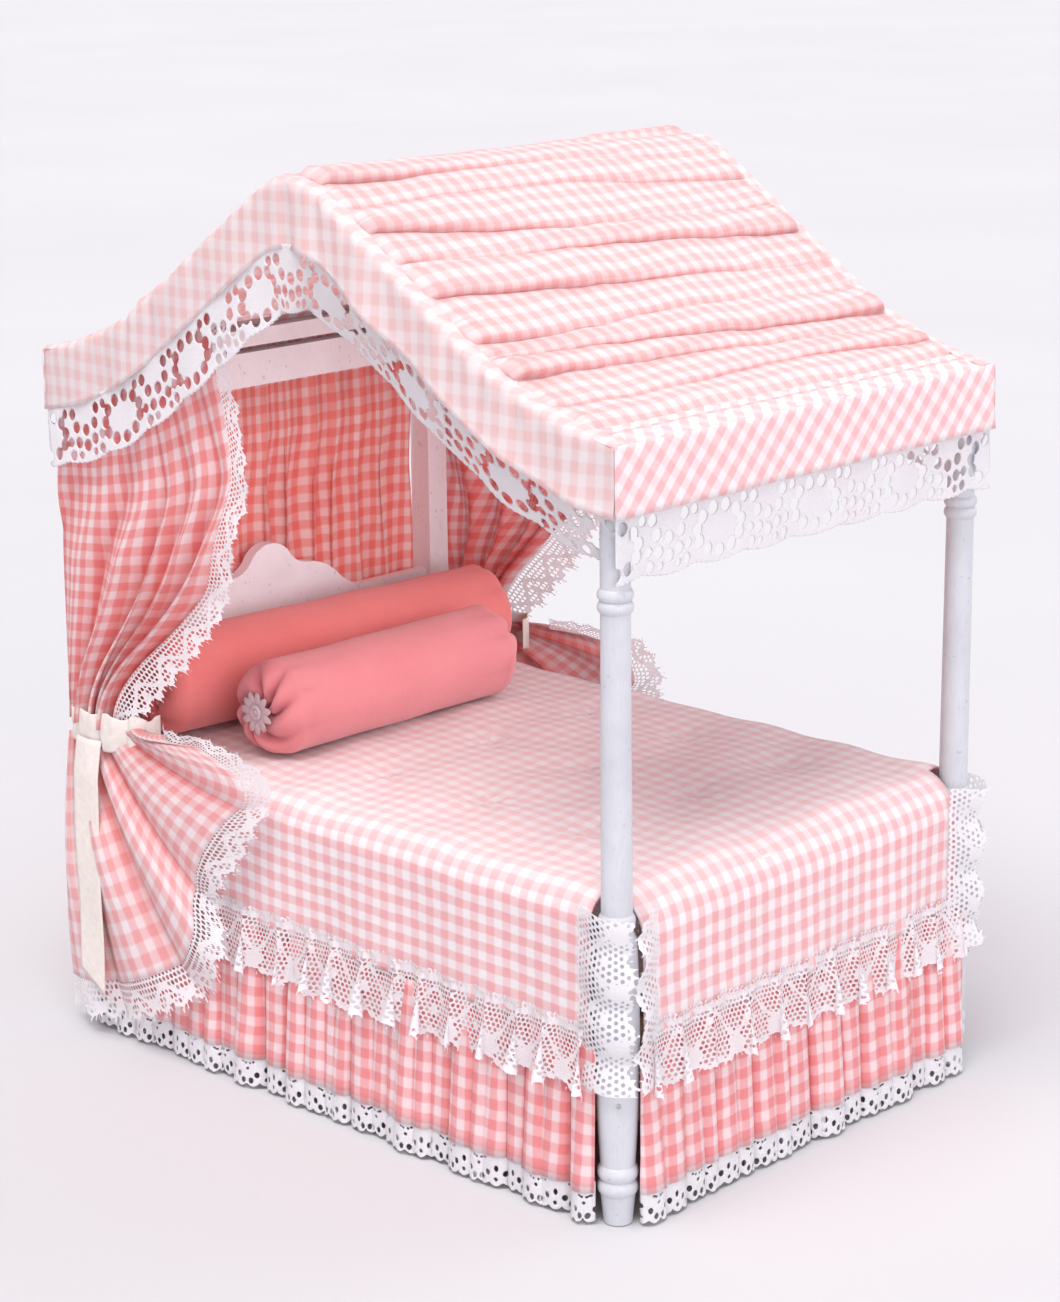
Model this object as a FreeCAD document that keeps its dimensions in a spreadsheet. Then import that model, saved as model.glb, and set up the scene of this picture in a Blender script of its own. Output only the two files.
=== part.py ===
import FreeCAD, Part
import math
import os

from FreeCAD import Placement, Rotation, Vector

# A dolls' house four poster bed in 1:12 scale: a painted wooden bed with an ogee canopy,
# dressed in gingham, lace and ribbon, with two loose bolsters.
# Millimetres. X runs across the bed, Y from the foot (-Y) to the head (+Y), Z up.
# The origin is on the floor, under the middle of the bed.

SIZES = [
    ("post_half_across", 54.0, "bed centre to a post's axis, across"),
    ("post_half_along", 81.0, "bed centre to a post's axis, along"),
    ("post_top", 146.0, "top of every post"),
    ("foot_radius", 2.9, "turned foot post at the floor"),
    ("foot_height", 6.0, "tapered foot of a turned post"),
    ("bead_radius", 4.1, "the two beads above the foot"),
    ("bead_depth", 3.1, "height of each bead"),
    ("leg_radius", 4.4, "thick lower part of a foot post"),
    ("leg_swell", 34.0, "height at which the leg is thickest"),
    ("leg_top", 59.0, "top of the thick leg"),
    ("collar_radius", 3.7, "ring at the height of the mattress"),
    ("collar_height", 62.7, "middle of that ring"),
    ("collar_depth", 3.0, "height of that ring"),
    ("shaft_radius", 3.1, "slim upper part of a foot post"),
    ("shaft_taper", 0.2, "how much thinner the shaft is at the top"),
    ("ring_radius", 3.5, "the two rings below the canopy"),
    ("ring_bottom", 123.6, "lower edge of the lower ring"),
    ("ring_depth", 2.4, "height of each ring"),
    ("head_post_width", 6.2, "square head post"),
    ("nail_radius", 0.5, "nail through a foot post"),
    ("nail_height", 26.0, "nail above the floor"),
    ("nail_length", 16.0, "nail, head to point"),
    ("board_thickness", 4.0, "rails and canopy bars"),
    ("rail_bottom", 20.0, "lower edge of the bed rails"),
    ("rail_height", 20.0, "depth of the bed rails"),
    ("base_thickness", 2.4, "board under the mattress"),
    ("corner_block_leg", 9.0, "corner block along each rail"),
    ("post_clearance", 0.3, "gap round the posts"),
    ("notch_reach", 20.0, "cutting blocks past a post's axis"),
    ("headboard_thickness", 3.0, "headboard"),
    ("headboard_shoulder", 87.3, "headboard height beside the posts"),
    ("headboard_crest", 102.6, "headboard height in the middle"),
    ("curtain_rail_bottom", 141.0, "rail between the head posts"),
    ("curtain_rail_height", 8.0, "depth of that rail"),
    ("canopy_half_along", 85.0, "bed centre to the canopy's end"),
    ("canopy_corner", 155.6, "top of the canopy at its corners"),
    ("canopy_ridge", 198.2, "top of the canopy's frame at the ridge"),
    ("canopy_lip_angle", 8.0, "slope of the canopy at its corners, degrees"),
    ("canopy_slope_angle", 34.0, "slope of the canopy half way up, degrees"),
    ("ridge_radius", 17.0, "rounding of the ridge"),
    ("arch_depth", 8.0, "depth of an arched canopy rail"),
    ("arch_offset", 0.4, "middle of an arched canopy rail, outside the post axes"),
    ("roof_lining", 1.2, "room between the arched rails and the canopy's top line"),
    ("roof_puff", 2.0, "gathered roof cloth above that line"),
    ("band_offset", 3.8, "inner face of the gingham band, outside the post axes"),
    ("band_thickness", 0.7, "gingham band, doubled cloth"),
    ("band_depth", 13.4, "depth of the gingham band"),
    ("lace_thickness", 0.5, "a lace edging"),
    ("valance_depth", 12.5, "lace hanging below the band"),
    ("lace_gap", 0.1, "between the lace and the band in front of it"),
    ("bed_top", 67.2, "top of the coverlet"),
    ("coverlet_thickness", 1.0, "quilted coverlet"),
    ("coverlet_overhang", 3.4, "coverlet's drop outside the post axes"),
    ("coverlet_hem", 38.0, "hem of the coverlet's drops"),
    ("coverlet_lace_bottom", 27.0, "lower edge of the coverlet's lace"),
    ("coverlet_lace_depth", 2.6, "gathered depth of that lace at its free edge"),
    ("bed_head_end", 77.4, "head end of the mattress and the coverlet"),
    ("ruffle_top", 37.6, "top of the dust ruffle"),
    ("ruffle_hem", 6.0, "where the dust ruffle's lace starts"),
    ("ruffle_top_offset", 2.1, "inner face of the ruffle at its top, outside the post axes"),
    ("ruffle_top_depth", 1.2, "depth of the ruffle's pleats at their top"),
    ("ruffle_hem_offset", 4.3, "inner face of the ruffle at its hem, outside the post axes"),
    ("ruffle_hem_depth", 2.2, "depth of the ruffle's pleats at their hem"),
    ("ruffle_lace_depth", 2.0, "gathered depth of the lace at the floor"),
    ("ruffle_lace_offset", 5.0, "inner face of that lace, outside the post axes"),
    ("floor_gap", 0.2, "lace above the floor"),
    ("back_curtain_depth", 3.6, "gathered depth of the back curtain"),
    ("back_curtain_hem", 88.0, "bed centre to the back curtain's hem"),
    ("curtain_depth", 1.6, "gathered depth of a side curtain"),
    ("curtain_front", 22.0, "leading edge of a side curtain where it hangs"),
    ("curtain_back", 83.6, "back edge of a side curtain"),
    ("curtain_below_valance", 129.0, "where its folds start, below the valance lace"),
    ("tie_front", 53.0, "front of the gathers inside the tie"),
    ("tie_back", 79.6, "back of the gathers inside the tie"),
    ("tie_height", 73.0, "middle of the ribbon tie"),
    ("tie_width", 8.0, "height of the ribbon tie"),
    ("bundle_depth", 5.0, "curtain gathered inside its tie"),
    ("lower_curtain_offset", 8.4, "inner face of the tied-back part, outside the post axes"),
    ("ribbon_thickness", 0.6, "satin ribbon"),
    ("ribbon_width", 8.5, "satin ribbon's tail"),
    ("ribbon_tail_front", 59.5, "front edge of the ribbon's tail"),
    ("back_bolster_radius", 12.7, "large bolster"),
    ("back_bolster_length", 102.0, "large bolster"),
    ("back_bolster_along", 62.2, "middle of the large bolster, along the bed"),
    ("back_bolster_across", 1.5, "middle of the large bolster, across"),
    ("back_bolster_turn", -4.0, "how far it lies askew, degrees"),
    ("back_bolster_dish", 1.5, "hollow in each of its ends"),
    ("neck_roll_radius", 11.7, "small bolster"),
    ("neck_roll_length", 74.0, "small bolster"),
    ("neck_roll_along", 35.0, "small bolster's axis along the bed"),
    ("neck_roll_across", -6.5, "middle of the small bolster, across"),
    ("neck_roll_dish", 1.2, "hollow in each of its ends"),
    ("bolster_gap", 0.3, "loose bolsters above the coverlet"),
    ("daisy_radius", 5.2, "flower on the end of the small bolster"),
    ("daisy_thickness", 0.8, "flower on the end of the small bolster"),
]

doc = FreeCAD.newDocument("FourPosterBed")
sheet = doc.addObject("Spreadsheet::Sheet", "Sizes")
for row, (alias, value, note) in enumerate(SIZES, 1):
    sheet.set(f"A{row}", note)
    sheet.set(f"B{row}", str(value))
    sheet.setAlias(f"B{row}", alias)
doc.recompute()

SIDES = (("left", -1), ("right", 1))
# The headboard's top from shoulder to crest: distance from its middle, and share of the rise.
HEADBOARD_STEPS = (
    (31.0, 0.0), (26.0, 0.07), (22.0, 0.24), (17.2, 0.48), (11.5, 0.58), (8.2, 0.65), (5.5, 0.84)
)
# The top of a side curtain's heading, just over the band's lower edge, from head to foot.
HEADING_TOP = ((77.4, 147.0), (56.0, 154.0), (40.0, 164.5), (24.0, 176.0))
# Side curtains as (along, up): the leading edge above the tie, and the edges of the flare.
LEADING_TOP, LEADING_MIDDLE, LEADING_TIE = 140.0, (30.0, 109.0), 57.0
FLARE_CREST = ((50.0, 75.0), (36.0, 75.0), (17.0, 71.5))
FLARE_FRONT = (FLARE_CREST[2], (30.0, 49.0), (32.0, 32.0))
FLARE_HEM = (FLARE_FRONT[2], (46.0, 18.5), (80.0, 9.5))
FLARE_LACE_FRONT = ((25.0, 28.0), (22.0, 49.0), (9.0, 73.5))
FLARE_LACE_HEM = ((80.0, 1.0), (42.0, 10.0), FLARE_LACE_FRONT[0])
subparts = []


def size(alias):
    """A driving dimension, read from the sheet."""
    return float(sheet.get(alias))


def bind(thing, **sizes):
    """Bind properties to expressions. Words that are aliases of the sheet are looked up there."""
    aliases = sorted((alias for alias, _, _ in SIZES), key=len, reverse=True)
    for name, text in sizes.items():
        words = text.split()
        bound = " ".join(f"Sizes.{word}" if word in aliases else word for word in words)
        thing.setExpression(name.replace("_to_", "."), bound)


def place(thing, x="0", y="0", z="0"):
    """Bind where a sub-part stands."""
    bind(thing, Placement_to_Base_to_x=x, Placement_to_Base_to_y=y, Placement_to_Base_to_z=z)


def keep(thing, name):
    """Make an object a sub-part, which is written to a file under its label."""
    thing.Label = name
    subparts.append(thing)
    return thing


def block(name, length, width, height, x, y, z):
    """A box with bound sizes, from its lowest corner."""
    box = doc.addObject("Part::Box", name)
    bind(box, Length=length, Width=width, Height=height)
    place(box, x, y, z)
    return box


def cut(name, base, tool):
    """One shape with another taken away."""
    result = doc.addObject("Part::Cut", name)
    result.Base = base
    result.Tool = tool
    return result


def fuse(name, shapes):
    """Several shapes joined into one object."""
    result = doc.addObject("Part::MultiFuse", name)
    result.Shapes = shapes
    return result


def line(start, end):
    return Part.LineSegment(Vector(*start, 0), Vector(*end, 0))


def arc(start, middle, end):
    """An arc of a circle through three points of a sketch."""
    return Part.Arc(Vector(*start, 0), Vector(*middle, 0), Vector(*end, 0))


def chain(points):
    """Straight edges from point to point."""
    return [line(a, b) for a, b in zip(points, points[1:])]


def sketch_on(body, plane, edges):
    """A closed outline on one of the body's own origin planes."""
    sketch = body.newObject("Sketcher::SketchObject", body.Name + "_outline")
    datum = next(item for item in body.Origin.OriginFeatures if item.Role == plane)
    sketch.AttachmentSupport = (datum, "")
    sketch.MapMode = "FlatFace"
    sketch.addGeometry(edges, False)
    return sketch


def padded_outline(name, plane, edges, thickness):
    """A body padded from one outline. YZ_Plane pads towards +X, XZ_Plane towards -Y."""
    body = doc.addObject("PartDesign::Body", name)
    sketch = sketch_on(body, plane, edges)
    pad = body.newObject("PartDesign::Pad", name + "_pad")
    pad.Profile = sketch
    bind(pad, Length=thickness)
    return body


def turned(name, edges, axis):
    """A body turned about an axis of its outline's plane, V_Axis upright or H_Axis along X."""
    body = doc.addObject("PartDesign::Body", name)
    sketch = sketch_on(body, "XZ_Plane", edges)
    turn = body.newObject("PartDesign::Revolution", name + "_turning")
    turn.Profile = sketch
    turn.ReferenceAxis = (sketch, [axis])
    turn.Angle = 360
    return body


def two_rings(inner, outer, bottom, depth):
    """Two round mouldings, one above the other."""
    heights = (bottom, bottom + depth)
    return [arc((inner, z), (outer, z + depth / 2), (inner, z + depth)) for z in heights]


def foot_post(name, side):
    """A turned post: tapered foot, two beads, thick leg, collar, slim shaft, two rings."""
    neck = size("foot_radius") + 0.6
    leg, shaft, top = size("leg_radius"), size("shaft_radius"), size("post_top")
    ankle = size("foot_height") + 2 * size("bead_depth")
    collar_bottom = size("collar_height") - size("collar_depth") / 2
    collar_top = size("collar_height") + size("collar_depth") / 2
    slim, rings = shaft - size("shaft_taper"), size("ring_bottom")
    edges = chain([(0, top), (0, 0), (size("foot_radius"), 0), (neck, size("foot_height"))])
    edges += two_rings(neck, size("bead_radius"), size("foot_height"), size("bead_depth"))
    edges += [
        arc((neck, ankle), (leg, size("leg_swell")), (leg - 0.5, size("leg_top"))),
        line((leg - 0.5, size("leg_top")), (shaft, collar_bottom)),
        arc((shaft, collar_bottom), (size("collar_radius"), size("collar_height")),
            (shaft, collar_top)),
        line((shaft, collar_top), (slim, rings)),
    ]
    edges += two_rings(slim, size("ring_radius"), rings, size("ring_depth"))
    edges += chain([(slim, rings + 2 * size("ring_depth")), (slim, top), (0, top)])
    post = keep(turned(name, edges, "V_Axis"), name)
    place(post, f"{side} * post_half_across", "- post_half_along")


def head_post(name, side):
    """A plain square post."""
    keep(
        block(
            name, "head_post_width", "head_post_width", "post_top",
            f"{side} * post_half_across - head_post_width / 2",
            "post_half_along - head_post_width / 2", "0",
        ),
        name,
    )


def side_rail(name, side):
    """A rail between a foot post and a head post."""
    start = "- post_half_along + leg_radius + post_clearance"
    keep(
        block(
            name, "board_thickness",
            "2 * post_half_along - leg_radius - head_post_width / 2 - 2 * post_clearance",
            "rail_height",
            f"{side} * post_half_across - board_thickness / 2", start, "rail_bottom",
        ),
        name,
    )


def end_rail(name, half_length, along, bottom, height):
    """A rail across the bed, centred on X."""
    keep(
        block(
            name, f"2 * ( {half_length} )", "board_thickness", height,
            f"- ( {half_length} )", f"{along} - board_thickness / 2", bottom,
        ),
        name,
    )


def corner_block(name, side):
    """A glue block in a foot corner, which the post's nail is driven into."""
    across = size("post_half_across") - size("board_thickness") / 2
    along = size("post_half_along") - size("board_thickness") / 2
    leg_room = size("leg_radius") - size("board_thickness") / 2 + 0.4
    reach = leg_room + size("corner_block_leg")
    corners = [
        (across, along - leg_room), (across, along - reach),
        (across - reach, along), (across - leg_room, along),
    ]
    outline = [(side * x, -y) for x, y in corners]
    body = doc.addObject("PartDesign::Body", name)
    sketch = sketch_on(body, "XY_Plane", chain(outline + outline[:1]))
    pad = body.newObject("PartDesign::Pad", name + "_pad")
    pad.Profile = sketch
    bind(pad, Length="rail_height - 4")
    place(keep(body, name), z="rail_bottom + 2")


def post_nails():
    """One nail through each foot post, driven in diagonally from outside."""
    nails = []
    for word, side in SIDES:
        nail = doc.addObject("Part::Cylinder", f"nail_{word}")
        bind(nail, Radius="nail_radius", Height="nail_length")
        inward = Vector(-side, 1, 0)
        nail.Placement = Placement(Vector(), Rotation(Vector(0, 0, 1), inward))
        head = "( leg_radius + 0.1 ) * 0.7071"
        place(
            nail, f"{side} * ( post_half_across + {head} )",
            f"- post_half_along - {head}", "nail_height",
        )
        nails.append(nail)
    keep(fuse("post_nails", nails), "post_nails")


def headboard():
    """A board with a serpentine top: crest, step and shoulder on each side."""
    half = size("post_half_across") - size("head_post_width") / 2
    shoulder, crest = size("headboard_shoulder"), size("headboard_crest")
    bottom = size("rail_bottom") + size("rail_height") / 2
    right = [(x, shoulder + share * (crest - shoulder)) for x, share in HEADBOARD_STEPS]
    left = [(-x, z) for x, z in right]
    edges = [arc(*points[i:i + 3]) for points in (right, left) for i in (0, 2, 4)]
    edges.append(arc(right[-1], (0, crest), left[-1]))
    edges += chain([left[0], (-half, shoulder), (-half, bottom), (half, bottom),
                    (half, shoulder), right[0]])
    board = padded_outline("headboard", "XZ_Plane", edges, "headboard_thickness")
    place(keep(board, "headboard"), y="post_half_along + headboard_thickness / 2")


def ogee(drop, inset=0.0, half=None):
    """The canopy's side line from head to foot, lowered by drop, then moved in by inset.

    It is a hollow arc at each end, a straight slope, and a rounded ridge. The pieces are
    returned as edges, with the two end points.
    """
    lip = math.radians(size("canopy_lip_angle"))
    slope = math.radians(size("canopy_slope_angle"))
    ridge_radius = size("ridge_radius")
    half = half or size("canopy_half_along")
    corner = Vector(half, size("canopy_corner") - drop, 0)
    ridge_centre = Vector(0, size("canopy_ridge") - drop - ridge_radius, 0)

    def outward(angle):
        return Vector(math.sin(angle), math.cos(angle), 0)

    up_slope = Vector(-math.cos(slope), math.sin(slope), 0)
    span = ridge_centre + outward(slope) * ridge_radius - corner
    bend = outward(lip) - outward(slope)
    hollow_radius = span.cross(up_slope).z / bend.cross(up_slope).z
    hollow_centre = corner + outward(lip) * hollow_radius

    hollow = [hollow_centre - outward(a) * (hollow_radius + inset)
              for a in (lip, (lip + slope) / 2, slope)]
    crown = [ridge_centre + outward(a) * (ridge_radius - inset)
             for a in (slope, 0, -slope)]
    head = [(point.x, point.y) for point in hollow]
    top = [(point.x, point.y) for point in crown]
    foot = [(-x, z) for x, z in reversed(head)]
    edges = [arc(*head), line(head[2], top[0]), arc(*top), line(top[2], foot[0]), arc(*foot)]
    return edges, head[0], foot[2]


def ogee_strip(name, upper, lower, thickness):
    """A strip between two ogee lines, padded across the bed."""
    upper_edges, upper_head, upper_foot = upper
    lower_edges, lower_head, lower_foot = lower
    edges = upper_edges + lower_edges
    edges += [line(upper_head, lower_head), line(upper_foot, lower_foot)]
    return keep(padded_outline(name, "YZ_Plane", edges, thickness), name)


def outside(side, offset, thickness):
    """The lower X of a layer of this thickness whose inner face is offset from the post axes."""
    if side > 0:
        return f"post_half_across + {offset}"
    return f"- post_half_across - ( {offset} ) - ( {thickness} )"


def canopy_arch(name, side):
    """An arched canopy rail over the posts of one side."""
    lining = size("roof_lining")
    arch_half = size("canopy_half_along") - 1.0
    arch = ogee_strip(
        name, ogee(lining, half=arch_half),
        ogee(lining + size("arch_depth"), half=arch_half), "board_thickness",
    )
    place(arch, f"{side} * ( post_half_across + arch_offset ) - board_thickness / 2")


def canopy_bar(name, along, top):
    """A square bar between the two arched rails."""
    keep(
        block(
            name, "2 * ( post_half_across + arch_offset ) - board_thickness", "board_thickness",
            "board_thickness", "- post_half_across - arch_offset + board_thickness / 2",
            f"{along} - board_thickness / 2", f"{top} - board_thickness",
        ),
        name,
    )


def roof_cloth():
    """The gathered roof, lying over the arched rails."""
    half = size("post_half_along") + size("band_offset")
    roof = ogee_strip(
        "roof_cloth", ogee(-size("roof_puff"), half=half), ogee(size("roof_lining"), half=half),
        "2 * ( post_half_across + band_offset )",
    )
    place(roof, "- post_half_across - band_offset")


def side_band(name, side):
    """The gingham band over an arched rail."""
    band = ogee_strip(name, ogee(0), ogee(size("band_depth")), "band_thickness")
    place(band, outside(side, "band_offset", "band_thickness"))


def end_layer(name, side, offset, thickness, bottom, height):
    """A flat layer across the foot (side -1) or the head (side 1) of the canopy."""
    inner = f"post_half_along + {offset}"
    low = inner if side > 0 else f"- ( {inner} ) - {thickness}"
    keep(
        block(
            name, "2 * ( post_half_across + band_offset )", thickness, height,
            "- post_half_across - band_offset", low, bottom,
        ),
        name,
    )


def side_valance(name, side):
    """Lace hanging from behind a side band."""
    depth = size("band_depth")
    lace = ogee_strip(
        name, ogee(depth - 1.5, half=size("canopy_half_along") - 1.0),
        ogee(depth, size("valance_depth"), half=size("canopy_half_along") - 1.0),
        "lace_thickness",
    )
    place(lace, outside(side, "band_offset - lace_gap - lace_thickness", "lace_thickness"))


def foot_notches(name):
    """Two square blocks that clear the foot posts, as a tool to cut with."""
    reach = "leg_radius + post_clearance"
    notches = []
    for word, side in SIDES:
        low = f"post_half_across - ( {reach} )" if side > 0 else "- post_half_across - notch_reach"
        notches.append(
            block(
                f"{name}_notch_{word}", f"notch_reach + {reach}", f"notch_reach + {reach}",
                "bed_top", low, "- post_half_along - notch_reach", "rail_bottom",
            )
        )
    return fuse(f"{name}_notches", notches)


def mattress():
    """A padded slab, notched round the foot posts."""
    inner = "post_half_across + coverlet_overhang - coverlet_thickness"
    foot = "post_half_along + coverlet_overhang - coverlet_thickness"
    slab = block(
        "mattress_slab", f"2 * ( {inner} )", f"{foot} + bed_head_end",
        "bed_top - coverlet_thickness - rail_bottom - rail_height - base_thickness",
        f"- ( {inner} )", f"- ( {foot} )", "rail_bottom + rail_height + base_thickness",
    )
    keep(cut("mattress", slab, foot_notches("mattress")), "mattress")


def coverlet():
    """The coverlet: a top with three drops, slit round the foot posts, open at the head."""
    outer = "post_half_across + coverlet_overhang"
    foot = "post_half_along + coverlet_overhang"
    cover = block(
        "coverlet_outside", f"2 * ( {outer} )", f"{foot} + bed_head_end",
        "bed_top - coverlet_hem", f"- ( {outer} )", f"- ( {foot} )", "coverlet_hem",
    )
    hollow = block(
        "coverlet_inside", f"2 * ( {outer} - coverlet_thickness )",
        f"{foot} - coverlet_thickness + bed_head_end + 1",
        "bed_top - coverlet_hem - coverlet_thickness + 1",
        f"- ( {outer} ) + coverlet_thickness", f"- ( {foot} ) + coverlet_thickness",
        "coverlet_hem - 1",
    )
    tool = fuse("coverlet_tool", [hollow, foot_notches("coverlet")])
    keep(cut("coverlet", cover, tool), "coverlet")


def skirt(name, side, top, bottom):
    """Gathered cloth or lace along one side of the bed, wider apart at its lower edge.

    top and bottom are each (height, inner face outside the post axes, depth). side is -1
    or 1 for the long sides, and None for the foot.
    """
    (high, high_inner, high_depth), (low, low_inner, low_depth) = top, bottom
    section = [(high_inner, high), (high_inner + high_depth, high),
               (low_inner + low_depth, low), (low_inner, low)]
    if side is None:
        corners = [(-size("post_half_along") - out, z) for out, z in section]
        piece = padded_outline(
            name, "YZ_Plane", chain(corners + corners[:1]),
            "2 * ( post_half_across - leg_radius - post_clearance )",
        )
        place(piece, x="- post_half_across + leg_radius + post_clearance")
    else:
        corners = [(side * (size("post_half_across") + out), z) for out, z in section]
        piece = padded_outline(
            name, "XZ_Plane", chain(corners + corners[:1]),
            "bed_head_end + post_half_along - leg_radius - post_clearance",
        )
        place(piece, y="bed_head_end")
    keep(piece, name)


def skirts():
    """The coverlet's lace, the dust ruffle and the ruffle's lace, on both sides and the foot."""
    overhang, lace = size("coverlet_overhang"), size("coverlet_lace_bottom")
    ruffle_top = (size("ruffle_top"), size("ruffle_top_offset"), size("ruffle_top_depth"))
    ruffle_hem = (size("ruffle_hem"), size("ruffle_hem_offset"), size("ruffle_hem_depth"))
    lace_top = (size("ruffle_hem"), size("ruffle_hem_offset"), size("ruffle_lace_depth"))
    floor = (size("floor_gap"), size("ruffle_lace_offset"), size("ruffle_lace_depth"))
    lace_start = (size("coverlet_hem") + 1.5, overhang, 0.8)
    lace_end = (lace, overhang + 1.4, size("coverlet_lace_depth"))
    for word, side in SIDES + (("foot", None),):
        skirt(f"coverlet_lace_{word}", side, lace_start, lace_end)
        skirt(f"dust_ruffle_{word}", side, ruffle_top, ruffle_hem)
        skirt(f"ruffle_lace_{word}", side, lace_top, floor)


def back_curtain():
    """Curtain behind the headboard: a flat heading behind the rails, then gathered folds."""
    rail_back = size("post_half_along") + size("board_thickness") / 2 + 0.1
    front = size("post_half_along") + size("headboard_thickness") / 2 + 0.2
    back = front + size("back_curtain_depth")
    hem = size("back_curtain_hem")
    heading, rail_bottom = rail_back + 1.0, size("curtain_rail_bottom")
    below_valance = size("canopy_corner") - size("band_depth") - size("valance_depth") - 1.0
    over_head_rail = size("rail_bottom") + size("rail_height") / 2 + 1.0
    floor = size("floor_gap")
    corners = [
        (front, over_head_rail), (rail_back, over_head_rail), (rail_back, floor), (hem, floor),
        (back, below_valance - 1.0), (heading, below_valance),
        (heading, rail_bottom + 10.0), (rail_back, rail_bottom + 10.0),
        (rail_back, rail_bottom - 0.5), (front, rail_bottom - 1.5),
    ]
    curtain = padded_outline(
        "back_curtain", "YZ_Plane", chain(corners + corners[:1]),
        "2 * post_half_across - head_post_width - 0.4",
    )
    place(keep(curtain, "back_curtain"), x="- post_half_across + head_post_width / 2 + 0.2")


def leading_edge():
    """Leading edge of a side curtain above its tie, as (y, z) from top to tie."""
    tie = size("tie_height") + size("tie_width") / 2
    return (size("curtain_front"), LEADING_TOP), LEADING_MIDDLE, (LEADING_TIE, tie)


def side_curtain(name, side):
    """A side curtain: heading under the canopy, folds drawn back to the tie, then a flare."""
    back, tie_back = size("curtain_back"), size("tie_back")
    tie_bottom = size("tie_height") - size("tie_width") / 2
    tie_top = size("tie_height") + size("tie_width") / 2
    below_valance = size("curtain_below_valance")
    heading_bottom = below_valance - 3.0
    top, middle, bottom = leading_edge()

    outline = [(HEADING_TOP[0][0], heading_bottom), *HEADING_TOP,
               (top[0], HEADING_TOP[-1][1]), (top[0], heading_bottom)]
    heading = padded_outline(
        name + "_heading", "YZ_Plane", chain(outline + outline[:1]), "lace_thickness"
    )
    place(heading, outside(side, "head_post_width / 2 + 0.1 - lace_thickness", "lace_thickness"))

    hang = (top[0] + 0.8, below_valance)
    folds_edges = [arc(hang, middle, bottom)]
    folds_edges += chain([
        bottom, (tie_back, tie_top), (back, tie_top + 14.0), (back, below_valance), hang,
    ])
    folds = padded_outline(name + "_folds", "YZ_Plane", folds_edges, "curtain_depth")
    place(folds, outside(side, "head_post_width / 2 + 0.1", "curtain_depth"))

    bundle = block(
        name + "_bundle", "bundle_depth", "tie_back - tie_front", "tie_width + 4",
        outside(side, "head_post_width / 2 + 0.7", "bundle_depth"), "tie_front",
        "tie_height - tie_width / 2 - 2",
    )

    flare_top = tie_bottom - 0.2
    flare_edges = [arc(*FLARE_CREST), arc(*FLARE_FRONT), arc(*FLARE_HEM)]
    flare_edges += chain([
        FLARE_HEM[2], (back - 2.0, FLARE_HEM[2][1]), (tie_back, flare_top),
        (FLARE_CREST[0][0] + 1.0, flare_top), FLARE_CREST[0],
    ])
    flare = padded_outline(name + "_flare", "YZ_Plane", flare_edges, "curtain_depth + 0.9")
    place(flare, outside(side, "lower_curtain_offset", "curtain_depth + 0.9"))
    keep(fuse(name, [heading, folds, bundle, flare]), name)


def offset_strip(points, width, toward):
    """A curved strip of this width beside an arc through three points."""
    start, middle, end = points
    moved = [(y + toward[0] * width, z + toward[1] * width) for y, z in points]
    return [arc(start, middle, end), line(end, moved[2]), arc(moved[2], moved[1], moved[0]),
            line(moved[0], start)]


def curtain_lace(name, side):
    """Lace on the leading edge above the tie."""
    top, middle, bottom = leading_edge()
    points = [(top[0] + 0.5, size("curtain_below_valance") - 0.5), (middle[0] - 0.4, middle[1]),
              (bottom[0] - 5.5, bottom[1] + 3.3)]
    edges = offset_strip(points, 6.0, (-0.85, -0.5))
    lace = padded_outline(name, "YZ_Plane", edges, "lace_thickness")
    place(keep(lace, name), outside(side, "head_post_width / 2 + 0.1", "lace_thickness"))


def flare_lace(name, side):
    """Lace on the flared edge and the hem below the tie."""
    gap = size("post_clearance")
    inner_front = [(y - gap, z) for y, z in FLARE_FRONT]
    inner_hem = [inner_front[2]] + [(y, z - gap) for y, z in FLARE_HEM[1:]]
    edges = [
        arc(*inner_front), arc(*inner_hem), line(inner_hem[2], FLARE_LACE_HEM[0]),
        arc(*FLARE_LACE_HEM), arc(*FLARE_LACE_FRONT), line(FLARE_LACE_FRONT[2], inner_front[0]),
    ]
    lace = padded_outline(name, "YZ_Plane", edges, "lace_thickness")
    place(keep(lace, name), outside(side, "lower_curtain_offset + 1", "lace_thickness"))


def ribbon_tie(name, side):
    """Ribbon round the gathered curtain, as a closed band."""
    hole = block(
        name + "_hole", "bundle_depth + 0.4", "tie_back - tie_front + 0.4", "tie_width + 2",
        outside(side, "head_post_width / 2 + 0.5", "bundle_depth + 0.4"), "tie_front - 0.2",
        "tie_height - tie_width / 2 - 1",
    )
    ring = block(
        name + "_outside", "bundle_depth + 1.2", "tie_back - tie_front + 2", "tie_width",
        outside(side, "head_post_width / 2 + 0.1", "bundle_depth + 1.2"), "tie_front - 1",
        "tie_height - tie_width / 2",
    )
    keep(cut(name, ring, hole), name)


def ribbon_tail(name, side):
    """The ribbon's tail, hanging over the flared curtain, cut off at a slant."""
    tie_bottom = size("tie_height") - size("tie_width") / 2
    front = size("ribbon_tail_front")
    width = size("ribbon_width")
    corners = [(front, tie_bottom), (front + width, tie_bottom), (front + width + 3.5, 18.0),
               (front + 6.0, 11.0), (front + 2.0, 16.0)]
    tail = padded_outline(name, "YZ_Plane", chain(corners + corners[:1]), "ribbon_thickness")
    place(
        keep(tail, name),
        outside(side, "lower_curtain_offset + curtain_depth + 1.1", "ribbon_thickness"),
    )


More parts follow.
